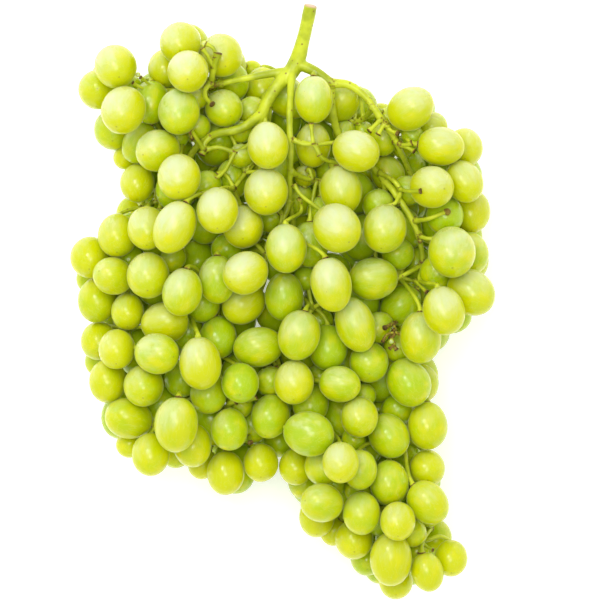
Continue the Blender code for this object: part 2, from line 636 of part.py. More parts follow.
def closed_object(name, bm, collection):
    """Turns a bmesh in millimetres into an object in metres with its faces pointing out."""
    bmesh.ops.scale(bm, vec=(MM, MM, MM), verts=bm.verts)
    bmesh.ops.recalc_face_normals(bm, faces=bm.faces)
    mesh = bpy.data.meshes.new(name)
    bm.to_mesh(mesh)
    bm.free()
    obj = bpy.data.objects.new(name, mesh)
    collection.objects.link(obj)
    return obj


def piece_collection(name):
    pieces = bpy.data.collections.new(name)
    bpy.context.scene.collection.children.link(pieces)
    return pieces


def fuse(body, pieces):
    """Joins a collection of pieces to the body in one union, and removes them."""
    union = body.modifiers.new("fuse", "BOOLEAN")
    union.operation = "UNION"
    union.operand_type = "COLLECTION"
    union.collection = pieces
    union.solver = SOLVER
    bpy.context.view_layer.update()
    graph = bpy.context.evaluated_depsgraph_get()
    body.data = bpy.data.meshes.new_from_object(body.evaluated_get(graph))
    body.data.name = body.name
    body.modifiers.clear()
    for piece in list(pieces.objects):
        bpy.data.objects.remove(piece, do_unlink=True)
    bpy.data.collections.remove(pieces)


def finish(obj, material):
    obj.data.materials.clear()
    obj.data.materials.append(material)
    obj.data.shade_smooth()
    obj.data.set_sharp_from_angle(angle=math.radians(SMOOTH_UP_TO))


def distances(path):
    """How far along a path each of its points is."""
    return np.concatenate([[0.0], np.cumsum(length(path[1:] - path[:-1]))])


def split_path(path, end):
    """A path up to a distance along it, and the rest beyond a small gap."""
    gone = distances(path)
    near = np.vstack([path[gone < end - SPUR_STEP], reading(path, gone, end)])
    far = np.vstack([reading(path, gone, end + GAP), path[gone > end + GAP + SPUR_STEP]])
    return near, far


def spur_length(path, arm):
    """How far a lateral runs before it is clear of its arm: its spur on the stalk ends there."""
    gone = distances(path)
    for end in np.arange(SPUR_SHORTEST, gone[-1] / 2, SPUR_STEP):
        point = reading(path, gone, end)
        off = length(point - nearest_on(point[None], arm[:-1, :3], arm[1:, :3]))
        if (off - arm[:-1, 3]).min() > LATERAL_RADIUS + 2 * GAP:
            break
    return end


def split_laterals(arms, laterals):
    """For each spray, the spur that its lateral starts as on the stalk, and the rest of it."""
    halves = {}
    for name, path in laterals.items():
        arm, _ = arms[SPRAYS[name][0]]
        halves[name] = split_path(path, spur_length(path, arm))
    return halves


def build_stalk(arms, spurs, shift, material):
    """The peduncle, the rachis and its arms, with a short spur towards every lateral."""
    bm = bmesh.new()
    path, _ = arms["rachis"]
    add_tube(bm, path[::STALK_EVERY, :3] + shift, path[::STALK_EVERY, 3], STALK_SIDES)
    stalk = closed_object("stalk", bm, bpy.context.scene.collection)
    pieces = piece_collection("stalk pieces")
    for name, (path, _) in arms.items():
        if name != "rachis":
            bm = bmesh.new()
            add_tube(bm, path[::ARM_EVERY, :3] + shift, path[::ARM_EVERY, 3], ARM_SIDES)
            closed_object(name, bm, pieces)
    for name, spur in spurs.items():
        bm = bmesh.new()
        add_tube(bm, spur + shift, [SPUR_RADIUS] * len(spur), SPUR_SIDES)
        closed_object(f"{name} spur", bm, pieces)
    fuse(stalk, pieces)
    finish(stalk, material)


def build_spray(name, path, berries, shift, material):
    """One lateral with its pedicels and berries fused to it."""
    bm = bmesh.new()
    radii = np.linspace(LATERAL_RADIUS, LATERAL_RADIUS * LATERAL_THINNING, len(path))
    add_tube(bm, path + shift, radii, LATERAL_SIDES)
    spray = closed_object(name, bm, bpy.context.scene.collection)
    pieces = piece_collection(f"{name} pieces")
    for k, (root, centre, a, c, axis) in enumerate(berries):
        bm = bmesh.new()
        add_berry(bm, centre + shift, axis, a, c)
        closed_object(f"{name} berry {k}", bm, pieces)
        bm = bmesh.new()
        add_pedicel(bm, root + shift, centre - axis * (c - PEDICEL_SUNK) + shift)
        closed_object(f"{name} pedicel {k}", bm, pieces)
    fuse(spray, pieces)
    finish(spray, material)


def main():
    clear_scene()
    skin = principled("grape_skin", (0.56, 0.66, 0.10), 0.35, 0.5)
    wood = principled("grape_stem", (0.42, 0.52, 0.12), 0.6, 0.3)
    arms = {name: smooth_path(points) for name, points in ARMS.items()}
    laterals = plan_laterals(arms)
    packed = ease(arms, laterals, pack(arms, laterals, plan_berries(laterals)))
    shift = ground_shift(arms, packed)
    halves = split_laterals(arms, laterals)
    build_stalk(arms, {name: spur for name, (spur, _) in halves.items()}, shift, wood)
    spray, root, centre, a, c, axis = packed
    shown = ~is_buried(centre)
    for k, (name, (_, path)) in enumerate(halves.items()):
        own = np.flatnonzero((spray == k) & shown)
        berries = [(root[i], centre[i], a[i], c[i], axis[i]) for i in own]
        build_spray(name, path, berries, shift, skin)


main()
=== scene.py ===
"""Looks of a bunch of white table grapes lying on its back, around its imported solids.

The bunch is laid out in millimetres by the same rules as its solids. Each sub-assembly is then built in metres:
the stalk with its arms, the laterals and pedicels of every spray, its berries, the bare pedicels that lost their
berry, and the table and light.
"""
from __future__ import annotations

import logging
import math
from dataclasses import dataclass, field
from enum import Enum
from typing import Sequence

import bmesh
import bpy
import numpy as np
from mathutils import Matrix, Vector, noise

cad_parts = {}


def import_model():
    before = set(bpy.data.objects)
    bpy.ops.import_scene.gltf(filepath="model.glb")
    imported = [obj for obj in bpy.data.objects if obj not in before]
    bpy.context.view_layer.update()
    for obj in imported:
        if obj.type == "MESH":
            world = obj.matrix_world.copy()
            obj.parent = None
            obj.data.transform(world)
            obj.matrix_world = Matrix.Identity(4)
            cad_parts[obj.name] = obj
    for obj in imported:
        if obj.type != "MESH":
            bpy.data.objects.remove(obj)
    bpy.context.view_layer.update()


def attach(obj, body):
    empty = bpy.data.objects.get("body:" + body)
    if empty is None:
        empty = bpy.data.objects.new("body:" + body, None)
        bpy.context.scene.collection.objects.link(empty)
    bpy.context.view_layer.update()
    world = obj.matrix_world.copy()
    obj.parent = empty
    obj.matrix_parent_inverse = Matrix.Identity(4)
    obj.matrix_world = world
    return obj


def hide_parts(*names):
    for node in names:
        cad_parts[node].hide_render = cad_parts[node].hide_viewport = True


LOG = logging.getLogger("grapes")
Array = np.ndarray
MM = 0.001

# Where the arms of the stalk run, and how thick they are: (x, y, z, radius) at each point.
# The crown, where the stalk forks, is at x = y = 0. +Y points up the stalk to its cut end, and the
# surface below is at z = 0.
ARMS = {
    "rachis": (
        (8, 28.5, 62, 3.0), (4.6, 13.5, 58, 3.1), (0.5, 1, 55, 3.8), (-8, -9, 57, 3.1), (-14, -21, 57, 2.6),
        (-16, -41, 48, 2.3), (-12, -68, 38, 2.0), (-1, -99, 36, 1.8), (14, -135, 34, 1.6),
        (30, -166, 32, 1.4), (41, -192, 29, 1.2), (47, -206, 26, 1.0)),
    "left_arm": (
        (-13, -19, 57, 2.4), (-23, -26.5, 59, 2.1), (-37, -30, 56, 1.7), (-47, -40, 45, 1.6),
        (-54.5, -67, 38, 1.5), (-57.5, -101, 35, 1.4), (-54, -131, 33, 1.2), (-47, -152, 30, 1.0)),
    "wing_arm": (
        (-1.5, -1, 55, 2.4), (-8, -1.5, 55.5, 1.9), (-21, -4, 56, 1.5), (-37, -7, 52, 1.4),
        (-54, -9, 43, 1.2), (-67, -10, 37, 1.0)),
    "centre_arm": (
        (-0.5, -2, 57, 2.0), (-1, -12, 63, 1.7), (-1.5, -25, 67, 1.5), (-1, -38, 66, 1.4),
        (-1.5, -53, 60, 1.3), (-0.5, -65, 51, 1.2), (3, -85, 42, 1.0)),
    "right_arm": (
        (1, 3, 55.5, 2.7), (10, -1, 57, 2.4), (17, -6, 58, 2.3), (25, -7, 58, 1.9), (33, -13, 60, 1.7),
        (39.5, -22.5, 60, 1.6), (46, -32, 55, 1.4), (53, -46, 40, 1.2), (58, -57, 34, 1.0)),
    "right_low_arm": (
        (17, -6, 57, 2.0), (17.5, -18, 54, 1.9), (22, -31.5, 50, 1.6), (36, -44, 50, 1.5),
        (46, -56, 56, 1.5), (55, -71, 56, 1.4), (58.5, -87, 50, 1.2), (58, -112, 38, 1.0)),
}

# Each spray: the arm that it grows from, how many of the arm's points along, where its lateral ends, and
# its berries.
SPRAYS = {
    "left_wing_tip": ("wing_arm", 5.0, (-77, -9, 34), 7),
    "left_wing_top": ("wing_arm", 3.3, (-47, 5, 42), 7),
    "left_wing_inner": ("wing_arm", 2.7, (-41, -8, 32), 6),
    "crown_back": ("rachis", 3.6, (-6, -36, 30), 6),
    "left_shoulder_upper": ("left_arm", 2.2, (-60, -28, 38), 7),
    "left_shoulder": ("left_arm", 3.5, (-69, -62, 41), 7),
    "left_side_upper": ("left_arm", 4.3, (-74, -92, 38), 7),
    "left_side_lower": ("left_arm", 5.0, (-75, -117, 42), 7),
    "left_foot_outer": ("left_arm", 6.0, (-71, -142, 30), 6),
    "left_foot": ("left_arm", 7.0, (-51, -151, 48), 7),
    "left_foot_inner": ("left_arm", 6.6, (-28, -164, 30), 8),
    "left_heart_upper": ("left_arm", 3.3, (-34, -60, 38), 8),
    "left_heart": ("left_arm", 4.6, (-30, -100, 50), 9),
    "left_heart_lower": ("left_arm", 5.6, (-36, -127, 44), 8),
    "crown_left": ("rachis", 4.8, (-27, -54, 58), 4),
    "crown_front": ("right_arm", 1.6, (8, -11, 40), 6),
    "centre_upper": ("centre_arm", 4.5, (-12.5, -84, 60), 8),
    "centre_front": ("centre_arm", 6.0, (9, -108, 56), 7),
    "centre_top": ("centre_arm", 3.5, (17, -50, 50), 7),
    "centre_low": ("rachis", 8.2, (-6, -136, 50), 10),
    "centre_right": ("rachis", 7.6, (27, -116, 34), 9),
    "right_top_inner": ("right_arm", 4.4, (24, -24, 36), 6),
    "right_top_outer": ("right_arm", 5.2, (61, -29, 38), 7),
    "right_side_upper": ("right_arm", 8.0, (67, -62, 30), 7),
    "right_heart_upper": ("right_low_arm", 3.5, (38, -66, 36), 7),
    "right_side": ("right_low_arm", 5.2, (72, -80, 40), 6),
    "right_heart": ("right_low_arm", 6.0, (36, -96, 50), 7),
    "right_side_lower": ("right_low_arm", 7.0, (52, -122, 44), 6),
    "tail_left_upper": ("rachis", 8.8, (4, -158, 40), 6),
    "tail_right_upper": ("rachis", 8.5, (44, -144, 32), 7),
    "tail_right": ("rachis", 9.0, (51, -166, 42), 6),
    "tail_left": ("rachis", 9.4, (19, -178, 34), 7),
    "tail_right_low": ("rachis", 9.8, (54, -188, 32), 4),
    "tail_left_low": ("rachis", 10.1, (33, -202, 42), 6),
    "tail_tip": ("rachis", 11.0, (48, -215, 30), 6),
    "tail_tip_right": ("rachis", 10.5, (63, -207, 38), 4),
}

# The berries that show on the front of the bunch: (x, y, z, width, length, lean) of each, with the lean in
# degrees, anticlockwise, from hanging straight down the bunch.
FRONT_BERRIES = (
    # The wing, at the top left.
    (-79.5, 1, 60, 19, 20, 20), (-88, -8.5, 42, 18, 18, 0), (-75.5, -18.5, 66, 20, 22, -20),
    (-80, -27, 36, 18, 19, 0), (-50.5, 11, 52, 19, 19.5, 0), (-47, -1.5, 68, 18.5, 19, 0),
    (-57, -3, 46, 16, 18, 0), (-32, 6, 48, 19, 20, 20), (-52, -20, 58, 19, 21.5, 0),
    (-64, -16, 44, 17, 20, 0), (-30, -20.5, 46, 18.5, 19.5, 40), (-13.5, -8, 34, 17, 20, 0),
    (-27, -6, 29, 15, 18, 0),
    # Between the left arm and the centre arm.
    (-55.5, -36.5, 58, 19, 20.5, -72), (-53.5, -48.5, 74, 19.5, 21, 0), (-69, -33, 42, 16, 20, -30),
    (-70, -49, 44, 16, 18, 0), (-13, -35, 72, 18.5, 21.5, 6), (-12.5, -55, 70, 20, 21.5, 0),
    (-26, -47, 48, 15, 19, 0), (-4, -24, 40, 15, 18, 0), (-3, -12, 36, 14, 17, 0),
    (-40, -43, 34, 14, 17, 0),
    # The top right.
    (9, -13.5, 64, 17, 21.5, 0), (9, -34, 55, 16, 20, 0), (30, -19, 46, 17, 19.5, 0),
    (52, -19.5, 60, 19, 22, 125), (66.5, -35, 60, 17.5, 21.5, 85), (77, -36, 48, 17, 18, 0),
    (28, -37, 70, 18.5, 21.5, 70), (20.5, -55, 66, 19, 22.5, 10), (20, -71, 76, 21, 23, 40),
    (41, -71.5, 68, 19.5, 22, -10), (62, -53, 66, 19, 20, 80), (42, -33, 44, 14, 17, 0),
    (45, -44, 42, 16.5, 20, 25), (55, -44, 40, 15, 17, 0), (76, -50, 50, 17, 20, 30),
    (79.5, -64.5, 46, 17.5, 20, 0), (69, -65, 54, 17, 18, 0), (71, -82, 68, 21.5, 23, 0),
    (79, -82, 48, 18, 20, 0), (79.5, -99.5, 56, 20, 23, 50),
    # The middle.
    (-52, -70, 68, 18.5, 25, -25), (-34.5, -64.5, 76, 19, 21, 0), (-21, -72, 58, 18.5, 19.5, 0),
    (-2.5, -80.5, 70, 18.5, 22, 0), (8, -79, 52, 17, 21, 0), (-21.5, -91.5, 74, 19, 21, -60),
    (-23, -105, 62, 18, 21, -50), (-35, -94.5, 56, 17, 22, 0), (-49, -99.5, 74, 18, 22, -12),
    (-43, -84, 48, 16, 18, 0), (-4, -102, 60, 17.5, 22, 0), (17.5, -98, 74, 18.5, 25, 12),
    (36, -94, 62, 19, 22.5, -85), (48, -104, 52, 17, 21, -45), (27.5, -115, 64, 18, 26, 20),
    (3, -120, 66, 19, 23, -15), (15.5, -126, 54, 18, 21, 0), (33, -130, 50, 18, 19, 0),
    (66.5, -109, 66, 19, 22.5, 15), (57, -122, 58, 19, 24, 0), (52, -139, 48, 19.5, 23, 30),
    (57, -142, 45, 17, 18, 0), (58, -160, 56, 18.5, 22, 0), (-16, -125, 62, 18, 23, -80),
    (-33, -119.5, 54, 17, 19.5, 0), (-23.5, -140, 62, 17, 18, 0), (0.5, -139.5, 68, 18, 20, 0),
    (21, -141, 60, 16.5, 19, 80), (8, -150, 58, 16.5, 18, 0), (28.5, -156, 62, 17, 18.5, 0),
    # The left side and its foot.
    (-64, -72.5, 58, 18, 20, 0), (-77, -74.5, 50, 18, 20, 0), (-73, -63, 34, 15, 17, 0),
    (-90, -84, 42, 18, 19, 0), (-64, -92, 68, 19.5, 21, 0), (-80, -92.5, 56, 17, 18.5, 70),
    (-86.5, -104.5, 46, 18, 21, 0), (-72.5, -110.5, 44, 16, 18, 0), (-59.5, -112, 68, 19, 22, -80),
    (-86.5, -121, 44, 17, 18, 0), (-77, -125, 56, 16.5, 18, 0), (-61, -127, 64, 18.5, 20.5, 80),
    (-42, -131.5, 74, 19, 24, 5), (-47, -118, 46, 15, 18, 0), (-83.5, -140.5, 48, 17, 20, 0),
    (-67, -142, 60, 18, 19, 0), (-52, -159, 74, 19.5, 25, -5), (-74, -156, 54, 18.5, 22, 75),
    (-64, -172.5, 58, 17, 19.5, 0), (-53, -171, 40, 15, 17, 0), (-45, -168.5, 60, 17, 20, 0),
    (-36.5, -147, 58, 17, 19, 0), (-50, -139, 50, 15, 17, 0), (-29.5, -159.5, 60, 17, 19.5, 0),
    (-30.5, -179.5, 54, 17, 20, 0), (-15, -177, 50, 16, 17.5, 0), (-9.5, -156, 60, 17.5, 20, -15),
    (-6, -166, 44, 15, 17, 0),
    # The tail.
    (7, -163, 68, 20, 23, 75), (43, -166.5, 44, 18.5, 21.5, 30), (22.5, -174, 72, 16.5, 18.5, 0),
    (32.5, -179.5, 66, 16, 18.5, 0), (12.5, -178.5, 58, 16, 17.5, 0), (1.5, -178, 48, 15.5, 17, 0),
    (13.5, -193.5, 64, 17.5, 19.5, 80), (11.5, -201.5, 48, 16, 18, 0), (5, -185.5, 40, 15, 16, 0),
    (30.5, -198.5, 66, 17, 19.5, 0), (43, -185.5, 44, 18, 21, 0), (51, -175, 36, 16, 17, 0),
    (58, -179, 42, 16, 17, 0), (59.5, -193.5, 54, 18, 21.5, 40), (46.5, -202, 64, 16, 17.5, 0),
    (27.5, -211, 52, 17, 18, 0), (33.5, -220, 38, 15, 16, 0), (44, -219, 62, 19, 24.5, 0),
    (46.5, -230, 42, 15.5, 17, 0), (60.5, -225.5, 54, 14.5, 18, 15), (71, -220, 48, 15, 16.5, 0),
    (64, -211, 34, 15, 17, 0),
)

# The outline of the whole bunch seen from above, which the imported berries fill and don't pass.
OUTLINE = (
    (-50, 22), (-58, 15), (-66, -1), (-74, 9), (-88, 8), (-97, -8), (-92, -24), (-84, -36), (-77, -48),
    (-82, -68), (-98, -80), (-97, -112), (-92, -142), (-86, -162), (-70, -181), (-54, -178),
    (-42, -183), (-28, -191), (-8, -184), (-3, -190), (1, -203), (8, -211), (19, -215), (26, -224),
    (44, -239), (62, -233), (80, -222), (69, -202), (66, -170), (66, -130), (78, -116), (92, -104),
    (88, -80), (88, -58), (84, -34), (70, -29), (65, -12), (54, -8), (42, -15), (34, -9), (20, -4),
    (0, -4), (-20, 8), (-34, 17),
)

# The pedicels of berries that hang in sight: the berry's (x, y), then (x, y, z) from its cap back to its twig.
IN_SIGHT = (
    ((28, -37), (10, -34, 67), (0, -32, 67)),
    ((20.5, -55), (13, -40, 67), (10, -34, 67)),
    ((20, -71), (4, -57, 63), (0.5, -52, 61)),
    ((-2.5, -80.5), (3.5, -64, 60), (3, -58, 62)),
    ((36, -94), (52, -91, 57), (58, -88, 51)),
    ((66.5, -109), (57, -95, 58), (58, -89, 51)),
    ((-42, -131.5), (-44, -115, 66), (-46, -109, 52)),
    ((41, -71.5), (46, -60, 60), (48, -55, 57)),
    ((52, -19.5), (43, -26, 60), (41, -25, 60)),
    ((71, -220), (66, -210, 44), (60, -212, 44), (54, -211, 40)),
    ((71, -82), (62, -76, 60), (57, -75, 57)),
)

# The ripeness, from 0 for green to 1, of the berries that differ most from what their place would give them.
OWN_RIPENESS = {
    (-34.5, -64.5): 1.0, (-64, -72.5): 0.9, (-59.5, -112): 0.95, (-23, -105): 0.85, (-52, -20): 0.45,
    (-30, -20.5): 0.55, (-69, -33): 0.45, (36, -94): 0.5, (-16, -125): 0.45, (-33, -119.5): 0.15,
    (52, -139): 0.35, (21, -141): 0.5, (-23.5, -140): 0.1, (-9.5, -156): 0.35, (7, -163): 0.3,
    (12.5, -178.5): 0.6, (43, -185.5): 0.45, (43, -166.5): 0.45, (32.5, -179.5): 0.55,
    (-36.5, -147): 0.4, (-29.5, -159.5): 0.4, (13.5, -193.5): 0.6, (-26, -47): 0.3, (-21, -72): 1.0,
    (-49, -99.5): 0.6, (-35, -94.5): 0.4, (-61, -127): 0.55, (-4, -102): 0.35, (3, -120): 0.6,
    (27.5, -115): 0.65, (33, -130): 0.35, (8, -79): 0.35, (-2.5, -80.5): 0.65, (57, -122): 0.7,
    (30.5, -198.5): 0.6,
    (59.5, -193.5): 0.7, (45, -44): 0.6, (42, -33): 0.6, (20.5, -55): 0.8, (9, -13.5): 0.65, (58, -160): 0.7,
}

# The short bare twigs that lost their berry: (x, y, z, radius) at each point, the last one at the nail-like end.
BARE_TWIGS = (
    ((-37, -7, 52, 1.1), (-40.5, -11.5, 53, 0.9), (-36, -16, 49, 0.9)),
    ((-37, -7, 53, 1.5), (-36, -2, 62, 1.45), (-34.5, 3, 67, 1.35), (-33.5, 7, 68, 1.3)),
    ((-34.3, 5, 67.5, 1.0), (-35.5, 9, 68.5, 0.85), (-39, 11, 68, 0.8)),
    ((-35.5, 1, 65, 1.0), (-38, 5.5, 68.5, 0.9), (-40.5, 9, 69, 0.85)),
    ((-37, -6, 57, 1.3), (-39.5, -9.5, 59, 1.1), (-39, -13, 61, 1.0), (-36, -16, 64, 0.95)),
    ((-54, -9, 44, 1.0), (-60, -9, 51, 0.8), (-66, -9, 55, 0.7), (-72, -6, 58, 0.6)),
    ((-60, -9, 51, 0.7), (-64, -7, 55, 0.6), (-68.5, -3.5, 58, 0.6)),
    ((-37, -30, 56, 1.3), (-39.5, -33, 57, 1.3), (-40, -36, 57, 1.5), (-41, -38.5, 57.5, 1.0)),
    ((-40, -36, 57, 1.2), (-43, -31.5, 61, 0.95), (-46, -27, 65.5, 0.9)),
    ((-39, -36, 56.5, 1.2), (-33, -35, 58, 1.0), (-26, -37, 58, 1.2), (-20, -34, 57, 1.1), (-16, -30, 54, 1.2)),
    ((-26, -37, 58, 1.1), (-28.5, -42, 59, 0.95), (-31, -46, 58.5, 0.9), (-35, -49, 57.5, 0.95),
     (-42, -50, 57.5, 0.8)),
    ((-34.5, -48.5, 57.5, 0.8), (-36.5, -53, 58, 0.75)),
    ((0, -32, 67, 1.1), (5, -34, 68, 0.95), (9, -34, 67.5, 1.1), (12, -39, 67, 0.9)),
    ((9, -34, 67.5, 0.95), (8.5, -29, 68, 0.85), (8, -24.5, 68, 0.85)),
    ((39.5, -22.5, 60, 1.2), (36.5, -25.5, 62, 0.95), (34, -28, 63, 0.9)),
    ((41, -24.5, 60, 1.1), (39.5, -27, 61.5, 0.9), (38, -29.5, 62, 0.85)),
    ((42, -26, 59, 1.1), (44.5, -28, 61, 0.95), (47, -29, 63, 0.9)),
    ((46, -32, 55, 1.3), (48.5, -34, 58, 1.1), (51, -34, 60, 1.0), (53.5, -33, 61, 0.9)),
    ((48.5, -34, 58, 1.0), (52, -35.5, 60, 0.85), (54.5, -37, 61, 0.8)),
    ((39, -46.5, 52, 1.1), (44, -49, 57, 1.0), (48, -54, 59, 1.0), (47, -60, 57, 0.95)),
    ((48, -54, 59, 0.9), (52, -55, 72, 0.85), (57, -55, 76.5, 0.85)),
    ((55, -68, 56.5, 1.2), (61, -67, 62, 1.0), (68.5, -64, 64.2, 0.9)),
    ((55, -95, 54, 0.8), (60, -100, 62, 0.75)),
    ((47, -206, 26, 1.0), (52, -210, 42, 0.8), (56, -212, 50, 0.7), (63, -216, 54, 0.6)),
    ((52, -210, 42, 0.7), (56, -210.5, 50, 0.6), (58, -208.5, 55, 0.5)),
    ((56, -212, 50, 0.7), (57, -214.5, 53, 0.6), (56.5, -217.5, 54, 0.6)),
    ((-31, -153, 50, 1.0), (-28, -149.5, 60, 1.3), (-25.5, -148.5, 62, 1.3)),
    ((-22, -150, 52, 1.0), (-19, -148, 60, 1.2), (-16.5, -146.5, 61, 1.3)),
    ((-27, -165, 48, 1.0), (-26, -168, 56, 0.9), (-25.5, -169, 58, 0.9)),
    ((-20, -163, 48, 1.0), (-19.5, -166, 56, 0.9), (-19, -167.5, 58, 0.9)),
)

# The same of the twigs that have dried.
DRY_TWIGS = (
    ((50, -112, 40, 1.1), (45, -114, 56, 0.9), (41, -116, 62, 0.8)),
    ((45, -114, 56, 0.8), (46, -118, 60, 0.7), (44, -121.5, 62, 0.7), (46.5, -126, 62, 0.7)),
    ((46, -118, 60, 0.7), (42, -119, 62, 0.6), (40, -122.5, 62, 0.6)),
    ((45, -117, 59, 0.7), (48, -119, 63, 0.6), (49.5, -118, 64, 0.6)),
    ((43.5, -120, 61, 0.7), (45.5, -123, 63, 0.6), (43, -125.5, 63, 0.6)),
    ((-45, -31.5, 62, 0.6), (-46, -29, 65, 0.7), (-46.5, -26.5, 66, 0.8)),
)

# The berries that never grew: (x, y, z, width) of each.
UNGROWN_BERRIES = ((-39.5, 11, 66, 3.0), (44, -122, 63.5, 2.6), (58, -208.5, 56, 3.2), (-69.5, -2.5, 58.5, 2.2))

# Where the skin of the stalk is corky and brown: (x, y, z) and how far round it.
BROWN_NODES = (
    (-37, -7, 53, 2.8), (-35, 3, 66, 1.8), (18, -6, 58, 2.2), (-40, -36, 57, 2.4), (0, -32, 67, 1.6),
    (9, -34, 67, 1.5), (41, -25, 60, 1.5), (34, -14, 60, 1.5), (48, -33.5, 57, 2.0), (-26, -37, 58, 1.4),
    (69, -64, 64, 2.2), (48, -54, 59, 1.3), (-60, -9, 51, 1.6), (57, -77, 57, 1.6), (58, -88, 51, 1.8),
    (-13, -20, 57, 1.2), (1, -52, 61, 1.3),
)

DOWN_THE_BUNCH = np.array((0.0, -1.0, 0.0))
UP = np.array((0.0, 0.0, 1.0))
GOLDEN_ANGLE = math.radians(137.508)


def dot(a: Array, b: Array) -> Array:
    """The dot product over the last axis."""
    return (a * b).sum(axis=-1)


def length(v: Array) -> Array:
    """The length over the last axis."""
    return np.sqrt(dot(v, v))


def unit(v: Array) -> Array:
    """The direction over the last axis."""
    return v / np.maximum(length(v), 1e-9)[..., None]


def split(way: Array) -> tuple[Array, Array]:
    """The length of each vector, and its direction."""
    far = np.maximum(length(way), 1e-6)
    return far, way / far[:, None]


def reading(path: Array, stations: Array, station: float) -> Array:
    """The point of a path at a station along it."""
    return np.array([np.interp(station, stations, path[:, axis]) for axis in range(path.shape[1])])


def nearest_on(point: Array, start: Array, end: Array) -> Array:
    """The nearest place to each point on a straight length of its own."""
    along = end - start
    t = np.clip(dot(point - start, along) / np.maximum(dot(along, along), 1e-9), 0, 1)
    return start + t[..., None] * along


def curve_through(points: Sequence[Sequence[float]], steps: int) -> Array:
    """A Catmull-Rom curve through points, whose columns after the third are carried along.

    Args:
        points: the points, in millimetres.
        steps: how many samples each span gets.

    Returns:
        The samples.
    """
    p = np.array(points, float)
    ends = np.vstack([2 * p[0] - p[1], p, 2 * p[-1] - p[-2]])
    samples = []
    for i in range(len(p) - 1):
        a, b, c, d = ends[i:i + 4]
        for step in range(steps):
            t = step / steps
            cubic = (3 * b - a - 3 * c + d) * t ** 3
            samples.append(0.5 * (2 * b + (c - a) * t + (2 * a - 5 * b + 4 * c - d) * t * t + cubic))
    samples.append(p[-1])
    return np.array(samples)


def gap_between(p0: Array, p1: Array, q0: Array, q1: Array) -> tuple[Array, Array]:
    """The shortest way from each second straight length to its first, and how far along the first it is."""
    d1, d2, r = p1 - p0, q1 - q0, p0 - q0
    a, e, b = dot(d1, d1), dot(d2, d2), dot(d1, d2)
    c, f = dot(d1, r), dot(d2, r)
    s = np.clip((b * f - c * e) / np.maximum(a * e - b * b, 1e-9), 0, 1)
    t = np.clip((b * s + f) / np.maximum(e, 1e-9), 0, 1)
    s = np.clip((b * t - c) / np.maximum(a, 1e-9), 0, 1)
    return (p0 + s[:, None] * d1) - (q0 + t[:, None] * d2), s


def reach(a: Array, c: Array, axis: Array, way: Array) -> Array:
    """How far an oval berry's skin reaches from its centre in a direction."""
    return np.sqrt(a ** 2 + (c ** 2 - a ** 2) * dot(axis, way) ** 2)


def close_pairs(p: Array, q: Array, within: float) -> tuple[Array, Array]:
    """Which points of p are close to which points of q."""
    return np.nonzero(length(p[:, None] - q[None]) < within)


@dataclass(frozen=True)
class StemPlan:
    """How the arms and laterals run, in millimetres."""

    gap: float = 0.3
    arm_steps: int = 6
    lateral_points: int = 9
    lateral_radius: float = 1.1
    lean: float = 0.4
    bend_share: float = 0.45
    heading_span: float = 0.15

    def smooth_path(self, points: Sequence[Sequence[float]]) -> tuple[Array, Array]:
        """A Catmull-Rom curve through an arm's points.

        Args:
            points: x, y, z and radius at each point.

        Returns:
            The samples, and the station of each.
        """
        steps = self.arm_steps
        stations = [i + step / steps for i in range(len(points) - 1) for step in range(steps)]
        return curve_through(points, steps), np.array([*stations, len(points) - 1.0])

    def heading(self, path: Array, stations: Array, station: float) -> Array:
        """Which way a path runs at a station along it."""
        low = max(stations[0], station - self.heading_span)
        high = min(stations[-1], station + self.heading_span)
        return unit(reading(path, stations, high)[:3] - reading(path, stations, low)[:3])

    def arms(self) -> dict[str, tuple[Array, Array]]:
        """Every arm's samples and stations."""
        return {name: self.smooth_path(points) for name, points in ARMS.items()}

    def laterals(self, arms: dict[str, tuple[Array, Array]]) -> dict[str, Array]:
        """The curved path of every spray's lateral, leaning along its arm before it bends to its tip."""
        laterals = {}
        t = np.linspace(0, 1, self.lateral_points)[:, None]
        for name, (arm, station, tip, _) in SPRAYS.items():
            path, stations = arms[arm]
            root = reading(path, stations, station)[:3]
            tip = np.array(tip, float)
            lean = unit(unit(tip - root) + self.lean * self.heading(path, stations, station))
            bend = root + lean * length(tip - root) * self.bend_share
            laterals[name] = (1 - t) ** 2 * root + 2 * t * (1 - t) * bend + t ** 2 * tip
        return laterals

    def pieces(self, arms: dict[str, tuple[Array, Array]], laterals: dict[str, Array]) -> list[Array]:
        """Straight lengths of every arm and lateral: both ends, the radius, and the spray or -1 for an arm."""
        rows = []
        for path, _ in arms.values():
            for i in range(0, len(path) - 1, 2):
                j = min(i + 2, len(path) - 1)
                rows.append((path[i, :3], path[j, :3], max(path[i, 3], path[j, 3]), -1))
        for k, path in enumerate(laterals.values()):
            for i in range(0, self.lateral_points - 1, 2):
                rows.append((path[i], path[i + 2], self.lateral_radius, k))
        return [np.array(column) for column in zip(*rows)]


